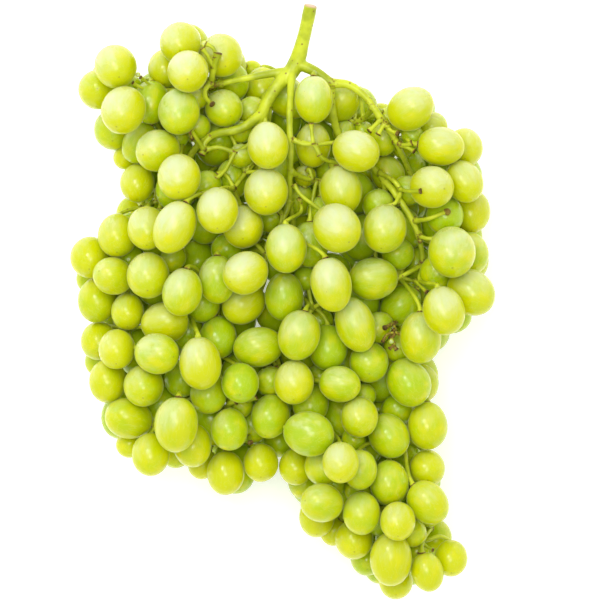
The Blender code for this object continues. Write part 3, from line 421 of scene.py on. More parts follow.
@dataclass(frozen=True)
class BerryPlan:
    """How many berries each spray has, their sizes, and where they start before they are packed."""

    stems: StemPlan
    seed: int = 7
    roundness: float = 1.2
    width: float = 19.0
    tail_share: float = 0.92
    size_spread: float = 0.09
    shape_spread: float = 0.06
    swapped_lean: float = 60
    top_reach: float = 6.0
    berries_a_twig: float = 2.6
    fewest_inner: int = 2
    twig_steps: int = 9
    first_reach: float = 17.0
    behind: float = 0.5
    bare_lateral: float = 14.0
    latest_twig: float = 0.55
    last_twig: float = 0.97
    twig_fan: float = 1.15
    tip_fan: float = 2.1
    twig_forward: float = 0.25
    tip_forward: float = 0.9
    forward_spread: float = 0.2
    spray_turn: float = 0.37

    def first_twig(self, path: Array) -> float:
        """The station of a lateral's first twig, past its bare start."""
        return min(self.latest_twig, self.bare_lateral / float(length(path[-1] - path[0])))

    def front_berry(self, x: float, y: float, z: float, width: float, long: float,
                    lean: float) -> tuple[Array, float, float, Array]:
        """A front berry's place, half width, half length and axis, tilted to the front where it looks round."""
        full = max(long, width * self.roundness)
        level = math.sqrt((long ** 2 - width ** 2) / (full ** 2 - width ** 2))
        lean = math.radians(lean)
        axis = np.array((math.sin(lean) * level, -math.cos(lean) * level, math.sqrt(1 - level ** 2)))
        return np.array((x, y, z), float), width / 2, full / 2, axis

    def nearest_twig(self, laterals: dict[str, Array], place: Array) -> tuple[float, int, Array]:
        """The least distance from a place to a lateral, that lateral's spray, and the point of it there."""
        stations = np.linspace(0, 1, self.stems.lateral_points)
        options = []
        for k, path in enumerate(laterals.values()):
            for t in np.linspace(self.first_twig(path), self.last_twig, self.twig_steps):
                point = reading(path, stations, t)
                options.append((float(length(point - place)), k, point))
        return min(options, key=lambda option: option[0])

    def front(self, laterals: dict[str, Array]) -> list[tuple]:
        """Each front berry's spray, pedicel's root, place, half width, half length and axis."""
        berries = []
        for row in FRONT_BERRIES:
            place, half_width, half_length, axis = self.front_berry(*row)
            ways = [axis, axis * (-1, -1, 1)] if abs(row[-1]) > self.swapped_lean else [axis]
            options = [(*self.nearest_twig(laterals, place - way * (half_length + self.top_reach)), way)
                       for way in ways]
            _, k, root, axis = min(options, key=lambda option: option[0])
            berries.append((k, root, place, half_width, half_length, axis))
        return berries

    def way_out(self, along: Array, turn: float, forward: float) -> Array:
        """The way of a berry from its twig: turned round the lateral, and forward along it."""
        side = unit(np.cross(along, UP))
        over = np.cross(along, side)
        return unit(side * math.cos(turn) + over * math.sin(turn) + along * forward)

    def inner(self, laterals: dict[str, Array], taken: list[int]) -> list[tuple]:
        """The rest of each spray's berries, set in turn round the twigs of its lateral."""
        rng = np.random.default_rng(self.seed)
        stations = np.linspace(0, 1, self.stems.lateral_points)
        berries = []
        for k, (name, (_, _, _, total)) in enumerate(SPRAYS.items()):
            path = laterals[name]
            count = max(self.fewest_inner, total - taken.count(k))
            twigs = max(2, round(count / self.berries_a_twig))
            for twig in range(twigs):
                members = count // twigs + (twig >= twigs - count % twigs)
                first = self.first_twig(path)
                t = first + (self.last_twig - first) * twig / (twigs - 1)
                root = reading(path, stations, t)
                along = self.stems.heading(path, stations, t)
                last = twig == twigs - 1
                for m in range(members):
                    fan = (m - (members - 1) / 2) * (self.tip_fan if last else self.twig_fan)
                    forward = self.tip_forward if last else self.twig_forward
                    forward = forward + rng.uniform(-self.forward_spread, self.forward_spread)
                    way = self.way_out(along, GOLDEN_ANGLE * (twig + k * self.spray_turn) + fan, forward)
                    width = self.width * rng.uniform(1 - self.size_spread, 1 + self.size_spread)
                    width *= self.tail_share if name.startswith("tail") else 1.0
                    long = width * self.roundness * rng.uniform(1 - self.shape_spread, 1 + self.shape_spread)
                    place = root + (way - UP * self.behind) * self.first_reach
                    berries.append((k, root, place, width / 2, long / 2, unit(rng.normal(size=3))))
        return berries

    def berries(self, laterals: dict[str, Array]) -> list[Array]:
        """Every berry's spray, pedicel's root, first place, half width, half length and axis or tilt."""
        front = self.front(laterals)
        inner = self.inner(laterals, [row[0] for row in front])
        return [np.array(column) for column in zip(*front, *inner)]


@dataclass(frozen=True)
class Packing:
    """Moves the berries until they touch but don't cross each other, the stems or the floor."""

    stems: StemPlan
    hang: float = 1.1
    tilt: float = 0.35
    pedicel_radius: float = 0.6
    pedicel_shortest: float = 4.0
    pedicel_longest: float = 10.0
    berry_gap: float = 0.1
    rounds: int = 420
    pairs_last: int = 6
    near_berry: float = 42.0
    near_stem: float = 34.0
    longest_step: float = 2.0
    berry_push: float = 0.42
    stem_push: float = 0.5
    outline_push: float = 0.5
    pedicel_push: float = 0.35
    owner_push: float = 0.2
    thin_push: float = 0.8
    pedicel_pull: float = 0.35
    pedicel_shortening: float = 0.15
    settling: float = 0.1
    inner_top: float = 46.0
    inner_pull: float = 0.3
    held_softness: float = 0.4
    hold: tuple[float, float, float] = (0.3, 0.3, 0.06)
    least_hold: float = 0.12
    floor_sink: float = 1.0
    settled_below: float = 3.5
    settled_sink: float = 1.3
    places: int = 6

    def depth_inside(self, xy: Array) -> tuple[Array, Array]:
        """How far each point is inside the bunch's outline, and the way further in."""
        start = np.array(OUTLINE, float)
        edge = np.roll(start, -1, axis=0) - start
        away = xy[:, None] - nearest_on(xy[:, None], start[None], (start + edge)[None])
        distance = length(away)
        nearest = distance.argmin(axis=1)
        rows = np.arange(len(xy))
        low, high = start[None, :, 1], start[None, :, 1] + edge[None, :, 1]
        spans = (low > xy[:, None, 1]) != (high > xy[:, None, 1])
        rise = np.where(np.abs(high - low) < 1e-9, 1e-9, high - low)
        cut = start[None, :, 0] + (xy[:, None, 1] - low) / rise * edge[None, :, 0]
        within = (spans & (cut > xy[:, None, 0])).sum(axis=1) % 2 == 1
        sign = np.where(within, 1.0, -1.0)
        depth = distance[rows, nearest]
        return depth * sign, away[rows, nearest] / np.maximum(depth, 1e-6)[:, None] * sign[:, None]

    def axes_of(self, p: Array, root: Array, tilt: Array) -> Array:
        """A front berry keeps its axis. Another's points away from its pedicel's root, hangs down and tilts."""
        axis = unit(unit(p - root) + self.hang * DOWN_THE_BUNCH + self.tilt * tilt)
        axis[:len(FRONT_BERRIES)] = tilt[:len(FRONT_BERRIES)]
        return axis

    def neighbours(self, spray: Array, p: Array, stems: list[Array]) -> tuple[Array, ...]:
        """The pairs of berries, and of a berry and a stem, that are close enough to touch soon."""
        start, end, _, owner = stems
        i, j = close_pairs(p, p, self.near_berry)
        i, j = i[i != j], j[i != j]
        b, s = close_pairs(p, (start + end) / 2, self.near_stem)
        return i, j, spray[i] != spray[j], b, s, owner[s] != spray[b]

    def push_apart(self, move: Array, near: tuple[Array, ...], berries: tuple[Array, ...],
                   stems: list[Array]) -> None:
        """Moves berries and their pedicels off each other and off the stems."""
        i, j, apart_sprays, b, s, foreign = near
        root, p, a, c, axis = berries
        start, end, radius, _ = stems
        top = p - axis * c[:, None]
        gap, thin = self.stems.gap, self.pedicel_radius

        far, way = split(p[i] - p[j])
        room = reach(a[i], c[i], axis[i], way) + reach(a[j], c[j], axis[j], way)
        np.add.at(move, i, way * (np.maximum(room + self.berry_gap - far, 0) * self.berry_push)[:, None])

        far, way = split(p[b] - nearest_on(p[b], start[s], end[s]))
        room = reach(a[b], c[b], axis[b], way) + radius[s] + 2 * gap
        np.add.at(move, b, way * (np.maximum(room - far, 0) * self.stem_push)[:, None])

        far, way = split(p[i] - nearest_on(p[i], root[j], top[j]))
        push = np.maximum(reach(a[i], c[i], axis[i], way) + thin + 2 * gap - far, 0)[:, None]
        np.add.at(move, i, way * push * self.pedicel_push)
        np.add.at(move, j, -way * push * self.owner_push)

        way, share = gap_between(root[i], top[i], root[j], top[j])
        far, way = split(way)
        push = np.maximum(2 * thin + 2 * gap - far, 0) * share * apart_sprays * self.thin_push
        np.add.at(move, i, way * push[:, None])

        way, share = gap_between(root[b], top[b], start[s], end[s])
        far, way = split(way)
        push = np.maximum(thin + radius[s] + 2 * gap - far, 0) * share * foreign * self.thin_push
        np.add.at(move, b, way * push[:, None])

    def pack(self, stems: list[Array], berries: list[Array]) -> tuple[Array, ...]:
        """Runs the rounds.

        Args:
            stems: the straight lengths of the arms and laterals.
            berries: every berry's spray, root, first place, half sizes and axis or tilt.

        Returns:
            The spray, pedicel's root, place, half width, half length and axis of every berry.
        """
        spray, root, p, a, c, tilt = berries
        held = slice(0, len(FRONT_BERRIES))
        home = p[held].copy()
        hold = np.array(self.hold)
        for turn in range(self.rounds):
            if turn % self.pairs_last == 0:
                near = self.neighbours(spray, p, stems)
            calm = 1 - turn / self.rounds
            axis = self.axes_of(p, root, tilt)
            far, away = split(p - root)
            wanted = np.clip(far, c + self.pedicel_shortest, c + self.pedicel_longest)
            shorten = self.pedicel_shortening * calm * (far > c + self.pedicel_shortest)
            move = away * ((wanted - far) * self.pedicel_pull - shorten)[:, None]
            move[:, 2] -= self.settling
            move[held] = 0
            self.push_apart(move, near, (root, p, a, c, axis), stems)

            move[held, :2] *= self.held_softness
            move[held] += (home - p[held]) * hold * max(calm, self.least_hold)
            depth, inward = self.depth_inside(p[:, :2])
            outside = np.maximum(reach(a, c, axis[:, :2], inward) - depth, 0) * self.outline_push
            outside[held] = 0
            move[:, :2] += inward * outside[:, None]
            raised = np.clip(p[:, 2] - self.inner_top, 0, self.longest_step) * self.inner_pull
            raised[held] = 0
            move[:, 2] -= raised
            lowest = p[:, 2] - reach(a, c, axis, UP)
            move[:, 2] += np.maximum(-self.floor_sink - lowest, 0)

            stride = np.maximum(length(move), 1e-9)
            p = np.round(p + move * np.minimum(1, self.longest_step / stride)[:, None], self.places)
        axis = self.axes_of(p, root, tilt)
        lowest = p[:, 2] - reach(a, c, axis, UP)
        p[:, 2] -= np.where(lowest < self.settled_below, lowest + self.settled_sink, 0)
        return spray, root, p, a, c, axis

    def ease(self, stems: list[Array], packed: tuple[Array, ...]) -> tuple[Array, ...]:
        """Makes a berry a little smaller where it would still touch another berry or a stem."""
        spray, root, p, a, c, axis = packed
        start, end, radius, _ = stems
        i, j, apart_sprays, b, s, _ = self.neighbours(spray, p, stems)
        top = p - axis * c[:, None]
        excess = np.zeros(len(p))
        far, way = split(p[i] - p[j])
        room = reach(a[i], c[i], axis[i], way) + reach(a[j], c[j], axis[j], way)
        np.maximum.at(excess, i, (room + self.berry_gap - far) / 2)
        far, way = split(p[i] - nearest_on(p[i], root[j], top[j]))
        room = reach(a[i], c[i], axis[i], way) + self.pedicel_radius + self.stems.gap - far
        np.maximum.at(excess, i, room * apart_sprays)
        far, way = split(p[b] - nearest_on(p[b], start[s], end[s]))
        np.maximum.at(excess, b, reach(a[b], c[b], axis[b], way) + radius[s] + self.stems.gap - far)
        share = 1 - excess / a
        return spray, root, p, a * share, c * share, axis


@dataclass(frozen=True)
class GapFilling:
    """Finds room for the small berries that fill the holes between the others, as seen from above."""

    plan: BerryPlan
    packing: Packing
    grid: float = 2.2
    inside: float = 5.0
    levels: tuple[float, ...] = tuple(float(level) for level in range(54, 15, -3))
    seed: int = 77
    widest: float = 8.6
    narrowest: float = 4.0
    narrowing: float = 0.035
    most: int = 120
    squash: float = 1.0
    hole: float = 6.0
    hole_weight: float = 0.12
    overlook: float = 0.65
    axis_spread: float = 0.3
    slack: float = 0.1
    roundness: tuple[float, float] = (1.0, 1.1)

    def room(self, stems: list[Array], berries: tuple[Array, ...], places: Array) -> Array:
        """How far each place is from the nearest skin of a berry, arm or lateral."""
        start, end, radius, _ = stems
        stem = length(places[:, None] - nearest_on(places[:, None], start[None], end[None])) - radius[None]
        return np.minimum(self.room_beside(berries, places), stem.min(axis=1))

    def room_beside(self, berries: tuple[Array, ...], places: Array) -> Array:
        """How far each place is from the nearest berry, and from hiding a front berry that is lower."""
        _, _, p, a, c, axis = berries
        way = places[:, None] - p[None]
        far = length(way)
        skin = far - reach(a[None], c[None], axis[None], way / np.maximum(far, 1e-6)[..., None])
        front = slice(0, len(FRONT_BERRIES) if len(p) > 1 else 0)
        aside = (length(way[:, front, :2]) - a[None, front]) / self.overlook
        aside = np.where(p[None, front, 2] < places[:, None, 2], aside, np.inf)
        return np.minimum(skin.min(axis=1), aside.min(axis=1, initial=np.inf))

    def tops(self, berries: tuple[Array, ...], xy: Array) -> Array:
        """How high the berries stand over each point of the table."""
        _, _, p, a, c, _ = berries
        size = ((a * a * c) ** (1 / 3))[None]
        off = length(xy[:, None] - p[None, :, :2])
        return np.where(off < size, p[None, :, 2] + np.sqrt(np.maximum(size ** 2 - off ** 2, 0)), 0).max(axis=1)

    def fill(self, stems: list[Array], laterals: dict[str, Array],
             packed: tuple[Array, ...]) -> tuple[Array, ...]:
        """Adds a berry at a time where it fills the deepest hole.

        Args:
            stems: the straight lengths of the arms and laterals.
            laterals: the sprays' laterals.
            packed: the berries so far.

        Returns:
            All the berries, the new ones last.
        """
        start = np.array(OUTLINE, float)
        xs = np.arange(start[:, 0].min(), start[:, 0].max(), self.grid)
        ys = np.arange(start[:, 1].min(), start[:, 1].max(), self.grid)
        xy = np.array([(x, y) for x in xs for y in ys])
        edge = self.packing.depth_inside(xy)[0]
        xy, edge = xy[edge > self.inside], edge[edge > self.inside]
        chance = np.random.default_rng(self.seed)
        places = np.array([(x, y, level) for level in self.levels for x, y in xy])
        room = np.minimum(self.room(stems, packed, places), np.tile(edge, len(self.levels))) + self.squash
        top = self.tops(packed, xy)
        narrowest = self.narrowest + self.narrowing * (places[:, 2] - self.levels[-1])
        found = []
        for _ in range(self.most):
            hole = places[:, 2] - np.tile(top, len(self.levels))
            score = np.minimum(room, self.widest) + self.hole_weight * hole
            score[(room < narrowest) | (hole < self.hole)] = -1
            pick = int(score.argmax())
            if score[pick] < 0:
                break
            place, half_width = places[pick], min(room[pick], self.widest)
            _, k, root = self.plan.nearest_twig(laterals, place)
            axis = unit(unit(place - root) + DOWN_THE_BUNCH + self.axis_spread * unit(chance.normal(size=3)))
            half_length = half_width * chance.uniform(*self.roundness)
            new = (k, root, place, half_width - self.slack, half_length, axis)
            found.append(new)
            alone = tuple(np.array(value)[None] for value in new)
            room = np.minimum(room, self.room_beside(alone, places) + self.squash)
            top = np.maximum(top, self.tops(alone, xy))
        return tuple(np.concatenate([old, np.array(values)]) for old, values in zip(packed, zip(*found)))


@dataclass(frozen=True)
class Berry:
    """One berry where it lies, in millimetres."""

    spray: str
    number: int
    root: Array
    centre: Array
    half_width: float
    half_length: float
    axis: Array
    ripeness_and_shade: float
    # The way of its pale patch: bloom on its outer side and a painted highlight towards the light.
    outer_and_lit_side: Array
    waypoints: tuple[Array, ...]

    @property
    def top(self) -> Array:
        """Where the pedicel meets the berry."""
        return self.centre - self.axis * self.half_length


@dataclass
class BunchLayout:
    """The whole bunch: its arms, laterals and berries, moved so that its footprint is centred."""

    stems: StemPlan = field(default_factory=StemPlan)
    shade: float = 2.1
    own_spread: float = 0.16
    ripeness_seed: int = 31
    cover_reach: float = 1.15
    cover_height: float = 10.0
    rim: float = 26.0
    rim_share: float = 0.1
    spine: float = 34.0
    # upward and the way after it turn each berry's pale patch up the stalk and to the left, towards the light: a
    # painted highlight that goes with the bloom on its outer side. The share of the patch falls down the bunch
    # and grows on berries that stand high.
    spread_out: tuple[float, float, float] = (0.3, 1.6, 8.0)
    upward: float = 0.85
    up_the_bunch_toward_the_light: tuple[float, float, float] = (-0.35, 1.0, 0.1)
    bunch_length: float = 200.0
    less_bloom_and_highlight: float = 0.3
    front_bloom_and_highlight: float = 0.012
    outer_level: float = 66.0
    bloom_and_highlight_range: tuple[float, float] = (0.45, 1.1)
    arms: dict[str, Array] = field(init=False)
    laterals: dict[str, Array] = field(init=False)
    berries: list[Berry] = field(init=False)
    brown_nodes: list[tuple[float, ...]] = field(init=False)
    shift: Array = field(init=False)

    def __post_init__(self) -> None:
        """Works the layout out."""
        arms = self.stems.arms()
        laterals = self.stems.laterals(arms)
        plan, packing = BerryPlan(self.stems), Packing(self.stems)
        stems = self.stems.pieces(arms, laterals)
        packed = packing.ease(stems, packing.pack(stems, plan.berries(laterals)))
        self.shift = self.footprint_shift(arms, *packed[2:])
        self.arms = {name: path + np.append(self.shift, 0) for name, (path, _) in arms.items()}
        self.laterals = {name: path + self.shift for name, path in laterals.items()}
        self.brown_nodes = [(*(np.array(spot[:3]) + self.shift), spot[3]) for spot in BROWN_NODES]
        names = list(laterals)
        front = len(FRONT_BERRIES)
        packed = GapFilling(plan, packing).fill(stems, laterals, packed)
        spray, root, p, a, c, axis = packed
        ripeness_and_shade = self.ripeness_and_shade(p, a, packing.depth_inside(p[:, :2])[0])
        for place, value in OWN_RIPENESS.items():
            ripeness_and_shade[[row[:2] for row in FRONT_BERRIES].index(place)] = value
        outer_and_lit_side = self.outer_and_lit_way(arms, p)
        in_sight = {place: [np.array(point) + self.shift for point in points] for place, *points in IN_SIGHT}
        self.berries = [
            Berry(names[spray[i]], i, root[i] + self.shift, p[i] + self.shift, float(a[i]), float(c[i]), axis[i],
                  float(ripeness_and_shade[i]), outer_and_lit_side[i],
                  tuple(in_sight.get(FRONT_BERRIES[i][:2], ()) if i < front else ()))
            for i in range(len(p))]

    def outer_and_lit_way(self, arms: dict[str, tuple[Array, Array]], p: Array) -> Array:
        """The way of each berry's pale patch: its bloom, on its outer side away from the middle of the bunch, and
        a painted highlight, turned up its stalk and to the left towards the light.

        The longer the way, the more of the patch the berry has: less down the bunch and deeper inside it.
        """
        rachis = arms["rachis"][0]
        across = p[:, 0] - np.interp(-p[:, 1], -rachis[:, 1], rachis[:, 0])
        sideways, forward, least = self.spread_out
        out = np.stack([across * sideways, np.zeros(len(p)), (p[:, 2] - self.spine) * forward + least], axis=1)
        down = np.clip(-p[:, 1] / self.bunch_length, 0, 1)
        share = 1 - self.less_bloom_and_highlight * down + self.front_bloom_and_highlight * (p[:, 2] - self.outer_level)
        share = np.clip(share, *self.bloom_and_highlight_range)
        return unit(unit(out) + self.upward * np.array(self.up_the_bunch_toward_the_light)) * share[:, None]

    def ripeness_and_shade(self, p: Array, a: Array, depth: Array) -> Array:
        """How ripe and lit each berry is from 0 to 1: lower under others well inside the bunch, partly as less
        ripe and partly as painted shade, with its own chance.
        """
        apart = length(p[:, None, :2] - p[None, :, :2]) / (a[:, None] + a[None])
        over = np.clip((p[None, :, 2] - p[:, None, 2]) / self.cover_height, 0, 1)
        cover = (np.clip(self.cover_reach - apart, 0, 1) * over).sum(axis=1)
        chance = np.random.default_rng(self.ripeness_seed).normal(size=len(p)) * self.own_spread
        cover = cover * np.clip(depth / self.rim - self.rim_share, 0, 1)
        return np.clip(np.exp(-self.shade * cover) + chance, 0, 1)

    @staticmethod
    def footprint_shift(arms: dict[str, tuple[Array, Array]], p: Array, a: Array, c: Array,
                        axis: Array) -> Array:
        """The shift that puts the middle of the bunch's footprint at the origin."""
        out = np.stack([reach(a, c, axis, way) for way in np.eye(3)[:2]], axis=1)
        stems = np.vstack([path[:, :2] for path, _ in arms.values()])
        low = np.minimum((p[:, :2] - out).min(axis=0), stems.min(axis=0))
        high = np.maximum((p[:, :2] + out).max(axis=0), stems.max(axis=0))
        return -np.array((*(low + high) / 2, 0.0))


class Slot(str, Enum):
    """The record's material slots."""

    SKIN = "grape_skin"
    STEM = "grape_stem"


class Layer(str, Enum):
    """The attributes that the finishes read."""

    RIPENESS_AND_SHADE = "ripeness_and_shade"
    OWN = "own"
    BROWN = "brown"
    CUT = "cut"
    # How far each point of a berry faces its pale patch of bloom and painted highlight.
    OUTER_AND_LIT_SIDE = "outer_and_lit_side"


def to_metres(point: Array) -> Vector:
    """A point in millimetres as a vector in metres."""
    return Vector([float(value) * MM for value in point[:3]])


def turned_to(way: Vector) -> Matrix:
    """The turn from the Z axis to a direction."""
    return Vector((0, 0, 1)).rotation_difference(way).to_matrix().to_4x4()


def fade(value: float, low: float, high: float) -> float:
    """A smooth step from 0 at low to 1 at high."""
    t = min(1.0, max(0.0, (value - low) / (high - low)))
    return t * t * (3 - 2 * t)


def frames_along(points: Sequence[Vector]) -> list[Matrix]:
    """A frame at each point of a path, its Z along the path, turned as little as possible between two.

    Args:
        points: the path's points.

    Returns:
        One frame a point.
    """
    ways = [(after - before).normalized() for before, after in zip(points, points[1:])]
    ways = [ways[0]] + [(a + b).normalized() for a, b in zip(ways, ways[1:])] + [ways[-1]]
    turn = Vector((0, 0, 1)).rotation_difference(ways[0])
    frames = []
    for i, (point, way) in enumerate(zip(points, ways)):
        if i:
            turn = ways[i - 1].rotation_difference(way) @ turn
        frames.append(Matrix.Translation(point) @ turn.to_matrix().to_4x4())
    return frames


@dataclass
class Piece:
    """One dressed piece of the bunch."""

    name: str
    slot: Slot
    finish: bpy.types.Material
    stands_for: tuple[str, ...] = ()

    def start(self) -> bmesh.types.BMesh:
        """A new bmesh with every layer that the finishes read."""
        bm = bmesh.new()
        for layer in (Layer.RIPENESS_AND_SHADE, Layer.BROWN, Layer.CUT, Layer.OUTER_AND_LIT_SIDE):
            bm.verts.layers.float.new(layer.value)
        bm.verts.layers.float_vector.new(Layer.OWN.value)
        return bm

    def make(self, bm: bmesh.types.BMesh) -> bpy.types.Object:
        """Turns a bmesh in metres into the piece, and frees it.

        Args:
            bm: the piece's mesh.

        Returns:
            The piece's object, which rides on the bunch.
        """
        mesh = bpy.data.meshes.new(self.name)
        bm.to_mesh(mesh)
        bm.free()
        mesh.shade_smooth()
        mesh.materials.append(self.finish)
        obj = bpy.data.objects.new(self.name, mesh)
        bpy.context.scene.collection.objects.link(obj)
        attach(obj, "root")
        if self.stands_for:
            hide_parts(*self.stands_for)
        LOG.info("%s: %d faces", self.name, len(mesh.polygons))
        return obj


@dataclass
class Tube:
    """A closed tube along a path in millimetres, whose radius and brownness change on the way."""

    points: Array
    radii: Array
    brown: Array
    sides: int = 10

    def add_to(self, bm: bmesh.types.BMesh) -> None:
        """Extrudes a capped circle from each frame of the path to the next."""
        layer = bm.verts.layers.float[Layer.BROWN.value]
        frames = frames_along([to_metres(point) for point in self.points])
        ring = bmesh.ops.create_circle(bm, cap_ends=True, segments=self.sides, radius=self.radii[0] * MM,
                                       matrix=frames[0])
        verts = ring["verts"]
        face = verts[0].link_faces[0]
        for i, frame in enumerate(frames):
            if i:
                grown = bmesh.ops.extrude_face_region(bm, geom=[face])["geom"]
                verts = [part for part in grown if isinstance(part, bmesh.types.BMVert)]
                if i > 1:
                    bmesh.ops.delete(bm, geom=[face], context="FACES_ONLY")
                face = next(part for part in grown if isinstance(part, bmesh.types.BMFace))
                thinner = Matrix.Scale(self.radii[i] / self.radii[i - 1], 4)
                bmesh.ops.transform(bm, matrix=frame @ thinner @ frames[i - 1].inverted(), verts=verts)
            for vert in verts:
                vert[layer] = float(self.brown[i])


@dataclass
class Skins:
    """The berries of one spray, in millimetres."""

    front_segments: int = 36
    front_rings: int = 22
    inner_segments: int = 24
    inner_rings: int = 14
    dimple: float = 0.5
    dimple_width: float = 1.8
    seed: int = 1000
    egg: float = 0.04
    egg_range: tuple[float, float] = (-0.6, 1.2)
    lumps: float = 0.016
    lump_scale: float = 1.2
    lump_shift: float = 50.0
    table: float = 0.0
    numbering: float = 10.0
    held_in: float = 0.999

    def add(self, bm: bmesh.types.BMesh, berry: Berry) -> None:
        """Adds a berry: an oval, fuller on one side of its middle, with a dimple where its pedicel ends.

        Args:
            bm: the spray's mesh.
            berry: the berry.
        """
        front = berry.number < len(FRONT_BERRIES)
        sphere = bmesh.ops.create_uvsphere(
            bm, u_segments=self.front_segments if front else self.inner_segments,
            v_segments=self.front_rings if front else self.inner_rings, radius=1.0)
        ripeness_and_shade = bm.verts.layers.float[Layer.RIPENESS_AND_SHADE.value]
        own = bm.verts.layers.float_vector[Layer.OWN.value]
        outer_and_lit_side = bm.verts.layers.float[Layer.OUTER_AND_LIT_SIDE.value]
        turn = turned_to(Vector(berry.axis))
        sun = turn.inverted() @ Vector(berry.outer_and_lit_side)
        place = Matrix.Translation(to_metres(berry.centre)) @ turn
        chance = np.random.default_rng(self.seed + berry.number)
        egg = self.egg * chance.uniform(*self.egg_range)
        shift = Vector(chance.uniform(-self.lump_shift, self.lump_shift, 3))
        for vert in sphere["verts"]:
            way = vert.co.copy()
            full = 1 + egg * way.z
            lump = 1 + noise.noise(way * self.lump_scale + shift) * self.lumps
            side = math.hypot(way.x, way.y) * berry.half_width
            dent = self.dimple * math.exp(-(side / self.dimple_width) ** 2) if way.z < 0 else 0.0
            vert.co = Vector((way.x * full * berry.half_width, way.y * full * berry.half_width,
                              way.z * berry.half_length)) * lump * MM
            vert.co.z += dent * MM
            vert[ripeness_and_shade] = berry.ripeness_and_shade
            # How far this point faces the berry's pale patch: its bloom and a painted highlight.
            vert[outer_and_lit_side] = way.dot(sun)
            vert[own] = way * self.held_in + Vector((0, 0, self.numbering * berry.number))
            vert.co = place @ vert.co
            vert.co.z = max(vert.co.z, self.table)


@dataclass
class Twigs:
    """The lateral and the pedicels of one spray, in millimetres."""

    sides: int = 10
    lateral: float = 1.3
    lateral_end: float = 0.95
    lateral_steps: int = 17
    pedicel: float = 0.92
    pedicel_steps: int = 15
    root_flare: float = 1.7
    cap: float = 1.75
    sunk: float = 0.45
    straight: float = 4.5
    nail: float = 1.6

    def add_lateral(self, bm: bmesh.types.BMesh, path: Array) -> None:
        """Adds the spray's own axis, thicker at its root and a little wavy."""
        t = np.linspace(0, 1, self.lateral_steps)
        stations = np.linspace(0, 1, len(path))
        points = np.array([reading(path, stations, value) for value in t])
        radii = self.lateral + (self.lateral_end - self.lateral) * t
        radii = radii * (1 + 0.35 * np.exp(-(t / 0.05) ** 2) + 0.05 * np.sin(t * 23 + path[0, 0]))
        Tube(points, radii, 0.15 + 0.3 * np.exp(-(t / 0.04) ** 2), self.sides).add_to(bm)

    def add_pedicel(self, bm: bmesh.types.BMesh, berry: Berry) -> None:
        """Adds a curved pedicel, that widens into a cap with a brown ring where it carries its berry."""
        end = berry.top + berry.axis * self.sunk
        waypoints = berry.waypoints
        if waypoints:
            corners = [end, berry.top - berry.axis * 1.5, *waypoints]
            path = curve_through(corners[::-1], 6)
        else:
            far = float(length(berry.top - berry.root))
            back = berry.top - berry.axis * min(self.straight, far * 0.4)
            bend = berry.root + (back - berry.root) * 0.4 + UP * 0.05 * far
            t = np.linspace(0, 1, self.pedicel_steps)[:, None]
            path = ((1 - t) ** 3 * berry.root + 3 * t * (1 - t) ** 2 * bend + 3 * t * t * (1 - t) * back
                    + t ** 3 * end)
        self.add_shoot(bm, path, np.full(len(path), self.pedicel), self.cap)

    def add_shoot(self, bm: bmesh.types.BMesh, path: Array, radii: Array, cap: float, dry: float = 0.1) -> None:
        """Adds a thin shoot along a path, flared at its root and widened at its end.

        Args:
            bm: the mesh.
            path: the shoot's points.
            radii: its radius at each point.
            cap: how far it widens at its end, as a share of its radius.
            dry: how brown it is all along.
        """
        gone = np.concatenate([[0.0], np.cumsum(length(path[1:] - path[:-1]))])
        stations = np.concatenate([np.linspace(0, gone[-1] - 2.4, max(5, int(gone[-1] / 1.6))),
                                   gone[-1] - np.array((1.9, 1.4, 1.0, 0.65, 0.35, 0.0))])
        points = np.array([reading(path, gone, value) for value in stations])
        left = gone[-1] - stations
        thick = np.interp(stations, gone, radii)
        thick = thick * (1 + (self.root_flare - 1) * np.exp(-(stations / 0.9) ** 2))
        thick = thick * (1 + (cap - 1) * np.exp(-(left / 1.3) ** 2))
        brown = dry + 0.55 * np.exp(-(stations / 0.7) ** 2) + 0.9 * np.exp(-(left / 0.55) ** 2)
        Tube(points, thick, brown, self.sides).add_to(bm)

    def add_bare(self, bm: bmesh.types.BMesh, corners: Sequence[Sequence[float]], shift: Array,
                 dry: float) -> None:
        """Adds a bare twig, that ends like the head of a nail.

        Args:
            bm: the mesh.
            corners: the twig's points, with its radius at each.
            shift: how far the bunch is moved from where they are.
            dry: how brown the twig is all along.
        """
        path = curve_through(corners, 6)
        self.add_shoot(bm, path[:, :3] + shift, path[:, 3], self.nail, dry)


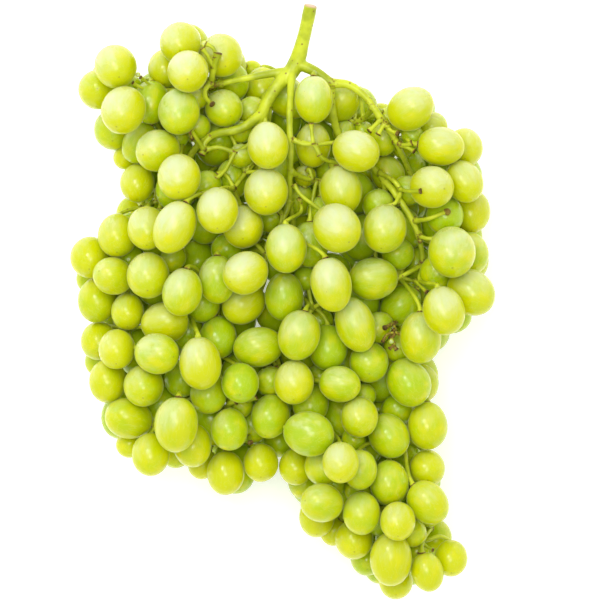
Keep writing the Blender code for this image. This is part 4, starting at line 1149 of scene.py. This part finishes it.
@dataclass
class Stalk:
    """The peduncle and its arms, with the spurs that carry the laterals, in millimetres."""

    sides: int = 16
    voxel: float = 0.42
    smoothing: int = 3
    spur: float = 7.0
    spur_radius: float = 1.5
    node_share: float = 0.8
    lumps: float = 0.16
    lump_scale: float = 260.0
    ridge_scale: float = 900.0
    ridges: float = 0.05
    cut_depth: float = 0.9
    root_mark: float = 2.2

    def build(self, piece: Piece, layout: BunchLayout) -> bpy.types.Object:
        """Joins the arms and spurs, webs their forks, and roughens them.

        Args:
            piece: the piece to make.
            layout: the bunch.

        Returns:
            The stalk.
        """
        bm = piece.start()
        for path in layout.arms.values():
            Tube(path[:, :3], path[:, 3], np.zeros(len(path)), self.sides).add_to(bm)
        for path in layout.laterals.values():
            self.add_spur(bm, path)
        for x, y, z, size in layout.brown_nodes:
            bmesh.ops.create_icosphere(bm, subdivisions=2, radius=size * self.node_share * MM,
                                       matrix=Matrix.Translation(to_metres((x, y, z))))
        obj = piece.make(bm)
        obj.data = self.remeshed(obj)
        self.roughen(obj.data, layout)
        return obj

    def add_spur(self, bm: bmesh.types.BMesh, path: Array) -> None:
        """Adds the short start of a lateral, thick where it leaves the arm."""
        gone = np.concatenate([[0.0], np.cumsum(length(path[1:] - path[:-1]))])
        stations = np.linspace(0, self.spur, 7)
        points = np.array([reading(path, gone, value) for value in stations])
        radii = self.spur_radius * (1 + 0.45 * np.exp(-(stations / 1.6) ** 2)) - 0.02 * stations
        Tube(points, radii, np.zeros(7), 10).add_to(bm)

    def remeshed(self, obj: bpy.types.Object) -> bpy.types.Mesh:
        """The arms as one skin, with their forks smoothed."""
        remesh = obj.modifiers.new("one skin", "REMESH")
        remesh.mode = "VOXEL"
        remesh.voxel_size = self.voxel * MM
        remesh.use_smooth_shade = True
        smooth = obj.modifiers.new("webs", "SMOOTH")
        smooth.factor = 0.5
        smooth.iterations = self.smoothing
        bpy.context.view_layer.update()
        whole = bpy.data.meshes.new_from_object(obj.evaluated_get(bpy.context.evaluated_depsgraph_get()))
        obj.modifiers.clear()
        whole.name = obj.name
        if not whole.materials:
            whole.materials.append(obj.data.materials[0])
        return whole

    def roughen(self, mesh: bpy.types.Mesh, layout: BunchLayout) -> None:
        """Moves the skin in and out a little, and marks its corky and its cut places."""
        bm = bmesh.new()
        bm.from_mesh(mesh)
        bm.normal_update()
        brown = bm.verts.layers.float.new(Layer.BROWN.value)
        cut = bm.verts.layers.float.new(Layer.CUT.value)
        spots = np.array(layout.brown_nodes)
        roots = np.array([path[0] for path in layout.laterals.values()])
        end = layout.arms["rachis"][0, :3]
        way = unit(end - layout.arms["rachis"][1, :3])
        for vert in bm.verts:
            here = np.array(vert.co) / MM
            off = length(spots[:, :3] - here) / spots[:, 3]
            from_root = float(length(roots - here).min()) / self.root_mark
            mark = 1.2 * math.exp(-float(off.min()) ** 2) + 0.5 * math.exp(-from_root ** 2)
            lump = noise.noise(vert.co * self.lump_scale) * self.lumps
            lump += noise.noise(vert.co * self.ridge_scale) * self.ridges * (1 + 3 * mark)
            vert[brown] = mark
            vert[cut] = fade(float(dot(here - end, way)), -self.cut_depth, -0.1)
            vert.co += vert.normal * lump * MM
        bm.to_mesh(mesh)
        bm.free()
        mesh.shade_smooth()


Socket = bpy.types.NodeSocket
Colour = tuple[float, float, float]


class Paint:
    """Adds nodes to a new material and joins them to its Principled shader."""

    COLOUR_A, COLOUR_B, COLOUR_MIXED = 6, 7, 2

    def __init__(self, name: str) -> None:
        """Makes the material."""
        self.material = bpy.data.materials.new(name)
        self.material.use_nodes = True
        self.nodes = self.material.node_tree.nodes
        self.shader = self.nodes["Principled BSDF"]

    def put(self, socket: Socket, value: Socket | float | Sequence[float]) -> None:
        """Sets a socket, or joins another socket to it."""
        if isinstance(value, bpy.types.NodeSocket):
            self.material.node_tree.links.new(value, socket)
        elif isinstance(value, tuple) and len(value) == 3 and socket.type == "RGBA":
            socket.default_value = (*value, 1.0)
        else:
            socket.default_value = value

    def attribute(self, layer: Layer, output: str = "Fac") -> Socket:
        """Reads an attribute of the mesh."""
        node = self.nodes.new("ShaderNodeAttribute")
        node.attribute_name = layer.value
        return node.outputs[output]

    def place(self) -> Socket:
        """The place on the object."""
        return self.nodes.new("ShaderNodeTexCoord").outputs["Object"]

    def scaled(self, vector: Socket, scale: Colour) -> Socket:
        """A vector scaled axis by axis."""
        node = self.nodes.new("ShaderNodeMapping")
        self.put(node.inputs["Vector"], vector)
        node.inputs["Scale"].default_value = scale
        return node.outputs[0]

    def noise(self, vector: Socket, scale: float, detail: float = 2.0, roughness: float = 0.5) -> Socket:
        """Soft noise from 0 to 1."""
        node = self.nodes.new("ShaderNodeTexNoise")
        self.put(node.inputs["Vector"], vector)
        node.inputs["Scale"].default_value = scale
        node.inputs["Detail"].default_value = detail
        node.inputs["Roughness"].default_value = roughness
        return node.outputs["Fac"]

    def dots(self, vector: Socket, scale: float) -> tuple[Socket, Socket]:
        """The distance to the nearest of many scattered points, and a colour of each point's own."""
        node = self.nodes.new("ShaderNodeTexVoronoi")
        self.put(node.inputs["Vector"], vector)
        node.inputs["Scale"].default_value = scale
        return node.outputs["Distance"], node.outputs["Color"]

    def between(self, value: Socket, low: float, high: float, to_low: float = 0.0,
                to_high: float = 1.0) -> Socket:
        """A smooth step of a value from low to high, as to_low to to_high."""
        node = self.nodes.new("ShaderNodeMapRange")
        node.interpolation_type = "SMOOTHSTEP"
        self.put(node.inputs["Value"], value)
        node.inputs["From Min"].default_value = low
        node.inputs["From Max"].default_value = high
        node.inputs["To Min"].default_value = to_low
        node.inputs["To Max"].default_value = to_high
        return node.outputs[0]

    def maths(self, operation: str, a: Socket | float, b: Socket | float) -> Socket:
        """The result of a maths operation on two values."""
        node = self.nodes.new("ShaderNodeMath")
        node.operation = operation
        self.put(node.inputs[0], a)
        self.put(node.inputs[1], b)
        return node.outputs[0]

    def mix(self, factor: Socket | float, a: Socket | Colour, b: Socket | Colour) -> Socket:
        """A mix of two colours."""
        node = self.nodes.new("ShaderNodeMix")
        node.data_type = "RGBA"
        self.put(node.inputs[0], factor)
        self.put(node.inputs[self.COLOUR_A], a)
        self.put(node.inputs[self.COLOUR_B], b)
        return node.outputs[self.COLOUR_MIXED]

    def bump(self, height: Socket, strength: float, distance: float) -> None:
        """Joins a height to the shader's normal."""
        node = self.nodes.new("ShaderNodeBump")
        node.inputs["Strength"].default_value = strength
        node.inputs["Distance"].default_value = distance
        self.put(node.inputs["Height"], height)
        self.put(self.shader.inputs["Normal"], node.outputs[0])

    def split(self, vector: Socket) -> tuple[Socket, Socket, Socket]:
        """A vector's three parts."""
        node = self.nodes.new("ShaderNodeSeparateXYZ")
        self.put(node.inputs[0], vector)
        return node.outputs[0], node.outputs[1], node.outputs[2]


@dataclass(frozen=True)
class SkinFinish:
    """The thin translucent skin of a white grape, pale with bloom and a painted highlight on its outer, lit side,
    greener with painted shade under other berries, with veins and specks.
    """

    name: str = "grape skin"
    # The first colour is for ripe berries in the open; the green one is for greener berries and also paints shade
    # on berries under others.
    ripe_and_lit: Colour = (0.56, 0.60, 0.0005)
    green: Colour = (0.39, 0.54, 0.0005)
    rich: Colour = (0.66, 0.65, 0.0)
    # Pale colours for the bloom, which also stand in for a painted highlight on the side towards the light.
    bloom_and_highlight: Colour = (0.63, 0.685, 0.46)
    green_bloom_and_highlight: Colour = (0.50, 0.64, 0.32)
    speck: Colour = (0.70, 0.72, 0.30)
    vein: Colour = (0.66, 0.70, 0.22)
    scar: Colour = (0.20, 0.17, 0.02)
    roughness: float = 0.22
    bloom_roughness: float = 0.14
    ior: float = 1.42
    sheen: float = 0.42
    sheen_roughness: float = 0.25
    sheen_tint: Colour = (1.0, 1.0, 0.55)
    light_reach: Colour = (1.0, 0.85, 0.2)
    depth: float = 0.01

    def material(self) -> bpy.types.Material:
        """Makes the material. Each berry's own directions carry its number as tens in their third part."""
        paint = Paint(self.name)
        own = paint.attribute(Layer.OWN, "Vector")
        z = paint.split(own)[2]
        along = paint.maths("SUBTRACT", paint.maths("FLOORED_MODULO", paint.maths("ADD", z, 5.0), 10.0), 5.0)
        # Berries under others are greener and darker: partly less ripe, partly painted shade.
        ripeness_and_shade = paint.attribute(Layer.RIPENESS_AND_SHADE)
        outer_and_lit_side = paint.attribute(Layer.OUTER_AND_LIT_SIDE)
        mottle = paint.noise(own, 1.7, 3.0)
        tone = paint.maths("ADD", ripeness_and_shade, paint.between(mottle, 0.3, 0.7, -0.2, 0.2))
        ripe_and_lit = paint.between(tone, 0.0, 1.0)
        base = paint.mix(ripe_and_lit, self.green, self.ripe_and_lit)
        rich = paint.between(paint.noise(own, 1.3, 2.0), 0.52, 0.72, 0.0, 0.55)
        base = paint.mix(rich, base, self.rich)
        # The pale patch: waxy bloom with its streaks and a painted highlight on the side of each berry towards
        # the light, fuller on riper, lit berries.
        pale = paint.mix(ripe_and_lit, self.green_bloom_and_highlight, self.bloom_and_highlight)
        streaks = paint.noise(paint.scaled(own, (1.0, 1.0, 0.35)), 3.4, 4.0, 0.62)
        cover = paint.maths("ADD", outer_and_lit_side, paint.between(streaks, 0.25, 0.75, -0.1, 0.1))
        bloom_and_highlight_share = paint.between(ripe_and_lit, 0.0, 0.5, 0.15, 0.95)
        patch = paint.maths("MULTIPLY", paint.between(cover, 0.38, 1.22), bloom_and_highlight_share)
        base = paint.mix(patch, base, pale)
        veins = paint.noise(paint.scaled(own, (1, 1, 0.3)), 4.2, 2.0)
        ridge = paint.maths("ABSOLUTE", paint.maths("SUBTRACT", veins, 0.5), 0.0)
        base = paint.mix(paint.between(ridge, 0.0, 0.03, 0.14, 0.0), base, self.vein)
        off, _ = paint.dots(own, 7.0)
        base = paint.mix(paint.between(off, 0.04, 0.11, 0.25, 0.0), base, self.speck)
        rare, chance = paint.dots(own, 2.3)
        lucky = paint.between(paint.split(chance)[0], 0.86, 0.88)
        spot = paint.maths("MULTIPLY", paint.between(rare, 0.025, 0.07, 0.5, 0.0), lucky)
        base = paint.mix(spot, base, self.scar)
        base = paint.mix(paint.between(along, 0.9945, 0.9975, 0.0, 0.5), base, self.scar)
        paint.put(paint.shader.inputs["Base Color"], base)
        rough = paint.maths("ADD", self.roughness, paint.maths("MULTIPLY", patch, self.bloom_roughness))
        paint.put(paint.shader.inputs["Roughness"], rough)
        height = paint.maths("ADD", paint.noise(own, 9.0, 3.0), paint.maths("MULTIPLY", mottle, 1.5))
        paint.bump(height, 0.12, 0.0004)
        paint.shader.inputs["IOR"].default_value = self.ior
        paint.shader.inputs["Sheen Weight"].default_value = self.sheen
        paint.shader.inputs["Sheen Roughness"].default_value = self.sheen_roughness
        paint.shader.inputs["Sheen Tint"].default_value = (*self.sheen_tint, 1.0)
        paint.shader.inputs["Subsurface Weight"].default_value = 1.0
        paint.shader.inputs["Subsurface Radius"].default_value = self.light_reach
        paint.shader.inputs["Subsurface Scale"].default_value = self.depth
        return paint.material


@dataclass(frozen=True)
class StemFinish:
    """The green skin of the stalk, corky and brown at its nodes, and pale where it was cut."""

    name: str = "green stalk"
    bright: Colour = (0.60, 0.67, 0.03)
    green: Colour = (0.35, 0.42, 0.01)
    cork: Colour = (0.21, 0.11, 0.02)
    dark: Colour = (0.07, 0.035, 0.01)
    cut: Colour = (0.62, 0.42, 0.25)
    ior: float = 1.4
    light_share: float = 0.35
    light_reach: Colour = (1.0, 0.9, 0.25)
    depth: float = 0.0015

    def material(self) -> bpy.types.Material:
        """Makes the material."""
        paint = Paint(self.name)
        place = paint.place()
        patches = paint.noise(place, 90, 3.0)
        base = paint.mix(paint.between(patches, 0.35, 0.65), self.green, self.bright)
        grain = paint.noise(place, 900, 3.0, 0.6)
        brown = paint.attribute(Layer.BROWN)
        corky = paint.maths("ADD", brown, paint.between(grain, 0.3, 0.7, -0.28, 0.28))
        base = paint.mix(paint.between(corky, 0.25, 0.75, 0.0, 0.9), base, self.cork)
        base = paint.mix(paint.between(corky, 0.8, 1.1, 0.0, 0.8), base, self.dark)
        off, chance = paint.dots(place, 420)
        some = paint.between(paint.split(chance)[0], 0.62, 0.66)
        spot = paint.maths("MULTIPLY", paint.between(off, 0.12, 0.26, 0.75, 0.0), some)
        base = paint.mix(spot, base, self.cork)
        base = paint.mix(paint.attribute(Layer.CUT), base, self.cut)
        paint.put(paint.shader.inputs["Base Color"], base)
        paint.put(paint.shader.inputs["Roughness"], paint.between(corky, 0.2, 0.8, 0.34, 0.8))
        paint.bump(paint.maths("ADD", grain, paint.noise(place, 300, 2.0)), 0.35, 0.0003)
        paint.shader.inputs["IOR"].default_value = self.ior
        paint.shader.inputs["Subsurface Weight"].default_value = self.light_share
        paint.shader.inputs["Subsurface Radius"].default_value = self.light_reach
        paint.shader.inputs["Subsurface Scale"].default_value = self.depth
        return paint.material


@dataclass
class Studio:
    """The table, the light and the camera, in metres."""

    middle: tuple[float, float] = (0.00315, -0.1035)
    level: float = 0.05
    lens: float = 320.0
    span: float = 0.27
    table: float = 4.0
    table_glow: float = 0.42
    sky: float = 0.88
    key: float = 2.2
    key_size: float = 0.5
    key_place: tuple[float, float, float] = (-0.28, 0.48, 1.0)
    fill: float = 4.4
    fill_size: float = 0.45
    fill_place: tuple[float, float, float] = (-0.06, 0.12, 1.3)
    glint: float = 2.2
    glint_size: float = 0.05
    glint_place: tuple[float, float, float] = (-0.42, 0.62, 0.95)

    def build(self, layout: BunchLayout) -> None:
        """Sets the table, the light and the camera."""
        scene = bpy.context.scene
        scene.view_settings.view_transform = "Standard"
        self.add_table(scene)
        world = bpy.data.worlds.new("studio")
        world.use_nodes = True
        world.node_tree.nodes["Background"].inputs["Color"].default_value = (1.0, 1.0, 1.0, 1.0)
        world.node_tree.nodes["Background"].inputs["Strength"].default_value = self.sky
        scene.world = world
        across, along = layout.shift[:2] * MM
        centre = Vector((across + self.middle[0], along + self.middle[1], self.level))
        self.add_lamp(scene, "soft box", centre, self.key_place, self.key_size, self.key)
        self.add_lamp(scene, "front fill", centre, self.fill_place, self.fill_size, self.fill)
        self.add_lamp(scene, "small lamp", centre, self.glint_place, self.glint_size, self.glint)
        self.add_camera(scene, centre)

    def add_table(self, scene: bpy.types.Scene) -> None:
        """Adds the white table, lit a little from below."""
        bm = bmesh.new()
        bmesh.ops.create_grid(bm, x_segments=1, y_segments=1, size=self.table / 2)
        mesh = bpy.data.meshes.new("table")
        bm.to_mesh(mesh)
        bm.free()
        white = Paint("white table")
        white.shader.inputs["Base Color"].default_value = (0.9, 0.9, 0.9, 1)
        white.shader.inputs["Emission Color"].default_value = (1, 1, 1, 1)
        white.shader.inputs["Emission Strength"].default_value = self.table_glow
        white.shader.inputs["Roughness"].default_value = 0.9
        white.shader.inputs["Specular IOR Level"].default_value = 0.0
        mesh.materials.append(white.material)
        table = bpy.data.objects.new("table", mesh)
        scene.collection.objects.link(table)

    def add_lamp(self, scene: bpy.types.Scene, name: str, centre: Vector, place: Sequence[float], size: float,
                 power: float) -> None:
        """Adds a round lamp that faces the bunch.

        Args:
            scene: the scene.
            name: the lamp's name.
            centre: the middle of the bunch.
            place: where the lamp is from there.
            size: its width.
            power: its power in watts.
        """
        lamp = bpy.data.lights.new(name, "AREA")
        lamp.shape = "DISK"
        lamp.size = size
        lamp.energy = power
        light = bpy.data.objects.new(name, lamp)
        offset = Vector(place)
        light.matrix_world = Matrix.Translation(centre + offset) @ turned_to(offset)
        scene.collection.objects.link(light)

    def add_camera(self, scene: bpy.types.Scene, centre: Vector) -> None:
        """Adds the camera, straight above the bunch."""
        view = bpy.data.cameras.new("camera")
        view.lens = self.lens
        view.sensor_width = 36.0
        camera = bpy.data.objects.new("camera", view)
        camera.location = centre + Vector((0, 0, self.span * self.lens / view.sensor_width))
        scene.collection.objects.link(camera)
        scene.camera = camera


@dataclass
class Bunch:
    """The whole bunch: its stalk, its sprays and what was left bare."""

    layout: BunchLayout
    skin: bpy.types.Material
    stem: bpy.types.Material
    skins: Skins = field(default_factory=Skins)
    twigs: Twigs = field(default_factory=Twigs)
    stalk: Stalk = field(default_factory=Stalk)
    fresh: float = 0.1
    dried: float = 0.7
    first_ungrown: int = 400

    def build(self) -> None:
        """Builds and dresses every piece."""
        self.stalk.build(Piece("stalk_arms", Slot.STEM, self.stem, ("stalk",)), self.layout)
        for name in self.layout.laterals:
            self.build_spray(name)
        self.build_bare()
        self.build_ungrown()

    def build_spray(self, name: str) -> None:
        """Builds a spray's berries, and its lateral with the pedicels."""
        own = [berry for berry in self.layout.berries if berry.spray == name]
        piece = Piece(f"{name}_berries", Slot.SKIN, self.skin, (name,))
        bm = piece.start()
        for berry in own:
            self.skins.add(bm, berry)
        piece.make(bm)
        piece = Piece(f"{name}_stems", Slot.STEM, self.stem, (name,))
        bm = piece.start()
        self.twigs.add_lateral(bm, self.layout.laterals[name])
        for berry in own:
            self.twigs.add_pedicel(bm, berry)
        piece.make(bm)

    def build_bare(self) -> None:
        """Builds the bare twigs."""
        piece = Piece("bare_twigs", Slot.STEM, self.stem)
        bm = piece.start()
        for dry, twigs in ((self.fresh, BARE_TWIGS), (self.dried, DRY_TWIGS)):
            for corners in twigs:
                self.twigs.add_bare(bm, corners, self.layout.shift, dry)
        piece.make(bm)

    def build_ungrown(self) -> None:
        """Builds the berries that never grew."""
        piece = Piece("ungrown_berries", Slot.SKIN, self.skin)
        bm = piece.start()
        ripeness_and_shade = bm.verts.layers.float[Layer.RIPENESS_AND_SHADE.value]
        own = bm.verts.layers.float_vector[Layer.OWN.value]
        outer_and_lit_side = bm.verts.layers.float[Layer.OUTER_AND_LIT_SIDE.value]
        for number, (x, y, z, width) in enumerate(UNGROWN_BERRIES):
            place = Matrix.Translation(to_metres(np.array((x, y, z)) + self.layout.shift))
            ball = bmesh.ops.create_icosphere(bm, subdivisions=3, radius=1.0)
            for vert in ball["verts"]:
                vert[ripeness_and_shade] = 0.5
                # The top of each ungrown berry faces its pale patch: bloom and a painted highlight from above.
                vert[outer_and_lit_side] = vert.co.z
                vert[own] = vert.co * 0.9 + Vector((0, 0, self.skins.numbering * (self.first_ungrown + number)))
                vert.co = place @ (vert.co * width / 2 * MM)
        piece.make(bm)


def main() -> None:
    """Builds the bunch and its studio."""
    logging.basicConfig(level=logging.INFO, format="%(message)s")
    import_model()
    layout = BunchLayout()
    Bunch(layout, SkinFinish().material(), StemFinish().material()).build()
    Studio().build(layout)


if __name__ == "__main__":
    main()
